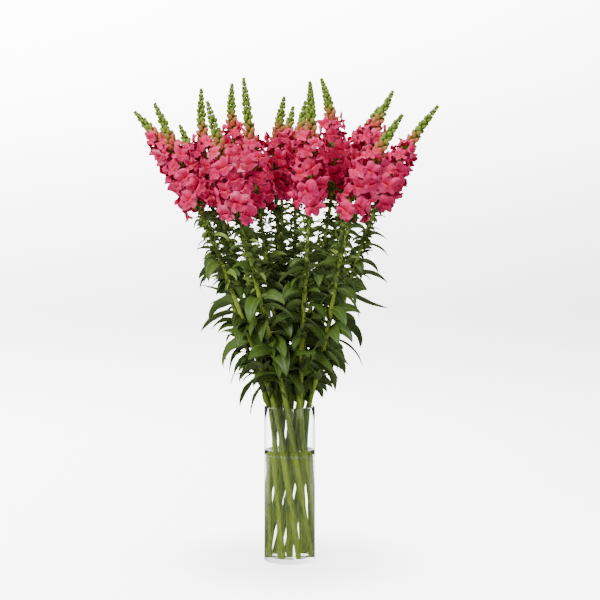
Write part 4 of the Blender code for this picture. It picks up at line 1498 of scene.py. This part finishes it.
    def add_buds(self, mesh: Mesh, poses: Poses, length: Array, radius: Array, openness: Array) -> None:
        """Adds buds: egg shapes on a thin neck, in a cup of five pointed sepals.

        The half width over the length t is sin(pi t to the 0.9) to the 0.6; the cup covers t below
        0.42 + 0.14 cos(5 turn) and stands out by an eighth of the width.

        Args:
            mesh: what they are added to.
            poses: where they stand.
            length: their lengths.
            radius: their half widths.
            openness: 0 for a closed green bud to 1 for one about to open.
        """
        copies, (rows, columns) = len(openness), self.bud_grid
        share = np.linspace(0.04, 0.97, rows)[:, None]
        turn = round_turns(columns)[None]
        egg = np.sin(math.pi * share**0.9) ** 0.6
        cup = 1 - smooth(-0.05, 0.05, share - 0.42 - 0.14 * np.cos(5 * turn))
        neck = 0.22 + 0.78 * smooth(0.0, 0.2, share)
        width = neck * egg * (1 + 0.12 * cup) * (1 + 0.04 * np.cos(2 * turn) * share)
        length, radius = (np.broadcast_to(size, copies)[:, None, None] for size in (length, radius))
        wide, curl = radius * width, length * 0.12 * share**2
        rings = poses.place(length * share * np.ones(columns), wide * np.cos(turn) + curl, wide * np.sin(turn))
        tips = length[:, 0] * np.array([0.0, 1.0])
        mesh.add_tubes(
            rings,
            poses.place(tips, 0.12 * tips, 0 * tips),
            along=(share, 0.0, 1.0),
            across=(turn / math.pi, 0.0, 0.0),
            sepal=(cup, 1.0, 0.0),
            openness=openness[:, None],
            tone=self.rng.uniform(0, 1, (copies, 1)),
        )

    def make_buds(self, material: Material) -> None:
        """Makes the closed buds, in rings of three, and the half-open ones below them, in a spiral."""
        stalk, mesh = self.stalk, Mesh()
        rows = round((stalk.length - stalk.buds) / self.bud_pitch)
        row = np.repeat(np.arange(rows), 3)
        share = 1 - (1 - (row + 1) / (rows + 0.3)) ** self.bud_crowding
        corner = row + np.tile([0, 2, 4], rows)
        along = between(stalk.buds + SPIKE.bud_rise, stalk.length, share)
        along += self.rng.uniform(-1.0, 1.0, len(row)) * MM * (1 - share)
        taper = 1 - self.bud_taper[0] * share ** self.bud_taper[1]
        turn = corner * math.pi / 3 + self.number + self.rng.uniform(-0.25, 0.25, len(row))
        tilt = self.bud_tilt[0] + self.bud_tilt[1] * share**2
        poses = self.poses(along - self.bud_root * taper, turn, 0.8 * stalk.radius(along), tilt)
        self.add_buds(mesh, poses, self.bud_size[0] * taper, self.bud_size[1] * taper, np.zeros(len(along)))
        step = np.arange(self.half_open)
        rise = (step + 0.5) / self.half_open
        below, above = self.half_open_overlap
        along = between(stalk.pink_top - below, stalk.buds + above, rise)
        tilt = self.half_open_tilt[0] + self.half_open_tilt[1] * rise
        poses = self.poses(along, step * GOLDEN_TURN + 0.6, stalk.radius(along) * 0.5, tilt)
        length, radius = (most - less * rise for most, less in (self.half_open_length, self.half_open_radius))
        self.add_buds(mesh, poses, length, radius, 1.0 - 0.8 * rise)
        self.piece(mesh, "buds", material)

    def add_florets(self, mesh: Mesh, poses: Poses, size: Array) -> None:
        """Adds open florets: see Floret for their form.

        Args:
            mesh: what they are added to.
            poses: where they stand.
            size: their sizes, 1 for a full-grown one.
        """
        floret = Floret()
        *grids, along, palate, folds = floret.surface(self.rng, len(size))
        rings = poses.place(*(grid * size[:, None, None] for grid in grids))
        ends = poses.place(*(end * size[:, None] for end in floret.ends()))
        mesh.add_tubes(
            inside_cell(rings, self.stalk, self.stalks),
            inside_cell(ends, self.stalk, self.stalks),
            along=(along, 0.0, 0.2),
            across=(round_turns(floret.columns) / math.pi, 0.0, 0.0),
            palate=(palate, 0.0, 0.0),
            fold=(folds, 0.2, 0.2),
            tone=self.rng.uniform(0, 1, (len(size), 1)),
        )

    def make_florets(self, petals: Material, greens: Material) -> None:
        """Makes the open florets as one piece, and their cups as another."""
        stalk, count = self.stalk, self.florets
        phase = self.draw.uniform(0, math.tau)
        step = np.arange(count)
        rise = (step + 0.4) / count
        along = stalk.bloom + (0.02 + 1.0 * rise) * SPIKE.pink
        turn = phase + step * GOLDEN_TURN
        size = self.floret_size[0] - self.floret_size[1] * rise**2
        size = size * self.rng.uniform(*self.size_spread, count)
        tilt = np.radians(self.floret_tilt[0] + self.floret_tilt[1] * rise)
        tilt = tilt + self.rng.uniform(-self.tilt_spread, self.tilt_spread, count)
        roll = self.rng.normal(0.0, self.roll_spread, count)
        mesh, cups = Mesh(), Mesh()
        poses = self.poses(along, turn, stalk.radius(along) + self.floret_start, tilt, roll)
        self.add_florets(mesh, poses, size)
        self.piece(mesh, "florets", petals)
        poses = self.poses(along - 2 * MM, turn, 0.4 * stalk.radius(along), tilt)
        self.add_buds(cups, poses, *self.cup_size, np.zeros(count))
        self.piece(cups, "cups", greens)

    def make(self, finishes: dict[str, Material]) -> None:
        """Makes every piece of the stem."""
        self.make_stalk(finishes["stalk"])
        self.make_leaves(finishes["leaf"])
        self.make_buds(finishes["bud"])
        self.make_florets(finishes["petal"], finishes["bud"])


# The studio


class Light(Enum):
    """The soft lamps: place, size in metres and power in watts."""

    KEY = ((-1.7, -2.1, 2.3), 1.2, 122.0)
    FILL = ((2.3, -2.0, 1.2), 2.0, 20.0)
    TOP = ((0.2, 0.2, 2.7), 1.3, 50.0)


@dataclass(frozen=True)
class PaperFinish(Finish):
    """White paper that glows, a painted light: brighter up the wall and to the left as painted lamp light,
    and dimmer round the vase's foot as a painted shadow.
    """

    name: str = "pale_paper"
    lamplit: Color = color(0.12, 0.12, 0.12)
    # painted light on the wall: the glow rises by the gain from the low height to the high one, over the base
    wall: tuple[float, float, float, float] = (0.3, 2.2, 7.9, 4.3)
    # painted light: extra glow on the floor, below the floor edge
    floor: float = 2.8
    # painted light: the glow brighter to the left
    sideways: float = -0.16
    # painted shadow round the vase's foot: its reach, where it is full, and how much the glow dims
    foot: Triple = (0.36, 0.04, -0.42)
    behind: Triple = (0.1, 0.6, 0.5)
    ambient: float = 0.18
    inside_glass: float = 0.33
    outer_walls: float = 3.0
    inner_walls: float = 3.0
    rough_paper: float = 0.95
    floor_edge: float = 0.5

    def strength(self, nodes: Nodes, level: Signal | float, behind: Signal | float) -> Signal:
        """How bright the white is to a ray.

        It is full on the way to the camera, also where the glass turns the way round to the part behind, and
        none where the ray is otherwise mirrored or lights the flowers. Light on the flowers gets a little of it
        back, and more on what stands in the glass and the water.

        Args:
            nodes: adds the nodes.
            level: the full brightness.
            behind: how fully a turned ray sees it, 1 for all.

        Returns:
            The strength.
        """
        names = ("Diffuse Depth", "Glossy Depth", "Transmission Depth")
        diffuse, glossy, walls = nodes.outputs(names, "ShaderNodeLightPath")
        diffuse, glossy, through = (depth.math("MINIMUM", 1.0) for depth in (diffuse, glossy, walls))
        mirrored = glossy * (1.0 - through * behind)
        seen = 1.0 - diffuse.math("MAXIMUM", mirrored)
        inside = (walls - self.outer_walls).math("MAXIMUM", 0.0).math("MINIMUM", self.inner_walls) * diffuse
        return seen * level + inside * self.inside_glass + self.ambient

    def inputs(self, nodes: Nodes) -> dict:
        """Paints the glow over the sheet: painted light brighter up the wall, at the floor and to the left,
        and a painted shadow round the vase's foot.
        """
        x, y, z = nodes.outputs(("X", "Y", "Z"), "ShaderNodeSeparateXYZ", {"Vector": nodes.place()})
        low, high, gain, base = self.wall
        # painted light: brighter up the wall and on the floor
        level = z.ramp(low, high) * gain + base + z.ramp(self.floor_edge, 0.0) * self.floor
        # painted shadow: the glow dims by the distance from the vase's foot
        away = nodes.outputs(("Value",), "ShaderNodeVectorMath", {0: nodes.place()}, operation="LENGTH")[0]
        far, near, shadow_depth = self.foot
        # painted light brighter to the left, and the painted shadow at the foot
        level = level * (x * self.sideways + 1.0) * (away.ramp(far, near) * shadow_depth + 1.0)
        start, end, most = self.behind
        return {
            "Base Color": self.lamplit,
            "Roughness": self.rough_paper,
            "Specular IOR Level": 0.0,
            "Emission Color": WHITE,
            "Emission Strength": self.strength(nodes, level, y.ramp(start, end) * most),
        }


@dataclass(frozen=True)
class Studio:
    """A seamless glowing white sweep in a white room, three soft lamps, and the camera, level and far back."""

    paper: PaperFinish
    eye: Triple = (0.0204, -2.13, 0.511)
    aim: Triple = (0.0, 0.0, 0.6)
    focal_pixels: float = 1080.0
    image_pixels: float = 600.0
    sensor: float = 36.0
    far: float = 50.0
    half_width: float = 6.0
    front: float = -6.0
    back: float = 2.6
    bend: float = 1.4
    bend_steps: int = 16
    height: float = 5.0
    below: float = 0.3 * MM
    room: float = 8.0
    room_behind: float = 0.4

    def sweep(self) -> None:
        """Makes the floor, a quarter circle and the wall behind as one thin sheet, just below the vase."""
        angle = np.linspace(0, math.pi / 2, self.bend_steps)
        curve_y = self.back - self.bend + self.bend * np.sin(angle)
        curve_z = self.bend * (1 - np.cos(angle))
        y = np.concatenate([[self.front], curve_y, [self.back]])
        z = np.concatenate([[0.0], curve_z, [self.height]]) - self.below
        x = np.array([-self.half_width, self.half_width])
        points = np.stack(np.broadcast_arrays(x[None], y[:, None], z[:, None]), axis=-1).reshape(-1, 3)
        mesh = bpy.data.meshes.new("sweep")
        mesh.from_pydata(points.tolist(), [], grid_quads(len(y), 2, False).tolist())
        mesh.shade_smooth()
        mesh.materials.append(self.paper.make())
        put("sweep", mesh)

    def lamps(self) -> None:
        """Places the lamps, each turned to the middle of the bunch, in a white room."""
        for light in Light:
            place, size, power = light.value
            data = bpy.data.lights.new(light.name.lower(), "AREA")
            data.size = size
            data.energy = power
            lamp = put(light.name.lower(), data)
            lamp.location = place
            lamp.rotation_euler = (Vector(self.aim) - Vector(place)).to_track_quat("-Z", "Y").to_euler()
        world = bpy.data.worlds.new("white_room")
        world.use_nodes = True
        nodes = Nodes(world.node_tree)
        strength = self.paper.strength(nodes, self.room, self.room_behind)
        nodes.feed(world.node_tree.nodes["Background"], {"Color": WHITE, "Strength": strength})
        bpy.context.scene.world = world

    def camera(self) -> None:
        """Places the level camera."""
        data = bpy.data.cameras.new("camera")
        data.sensor_width = self.sensor
        data.lens = self.focal_pixels / self.image_pixels * self.sensor
        data.clip_end = self.far
        camera = put("camera", data)
        camera.location = self.eye
        camera.rotation_euler = (math.pi / 2, 0.0, 0.0)
        bpy.context.scene.camera = camera

    def make(self) -> None:
        """Makes the whole studio."""
        self.camera()
        self.sweep()
        self.lamps()


def main() -> None:
    """Builds the studio, the finishes, the vase with its water, and the stems."""
    logging.basicConfig(level=logging.INFO, format="%(message)s")
    effects = Effects()
    Studio(PaperFinish(effects)).make()
    kinds = {"leaf": LeafFinish, "stalk": StalkFinish, "bud": BudFinish, "petal": PetalFinish}
    finishes = {key: kind(effects).make() for key, kind in kinds.items()}
    stalks = [Stalk(plan) for plan in PLANS]
    Vase().make(GlassFinish(effects).make())
    Water().make(stalks, WaterFinish(effects).make())
    foliage = Foliage(stalks)
    for rule in LEAF_RULES:
        foliage.grow(rule)
    for number, stalk in enumerate(stalks):
        Stem(stalk, stalks, foliage.placed[number], number).make(finishes)


if __name__ == "__main__":
    main()
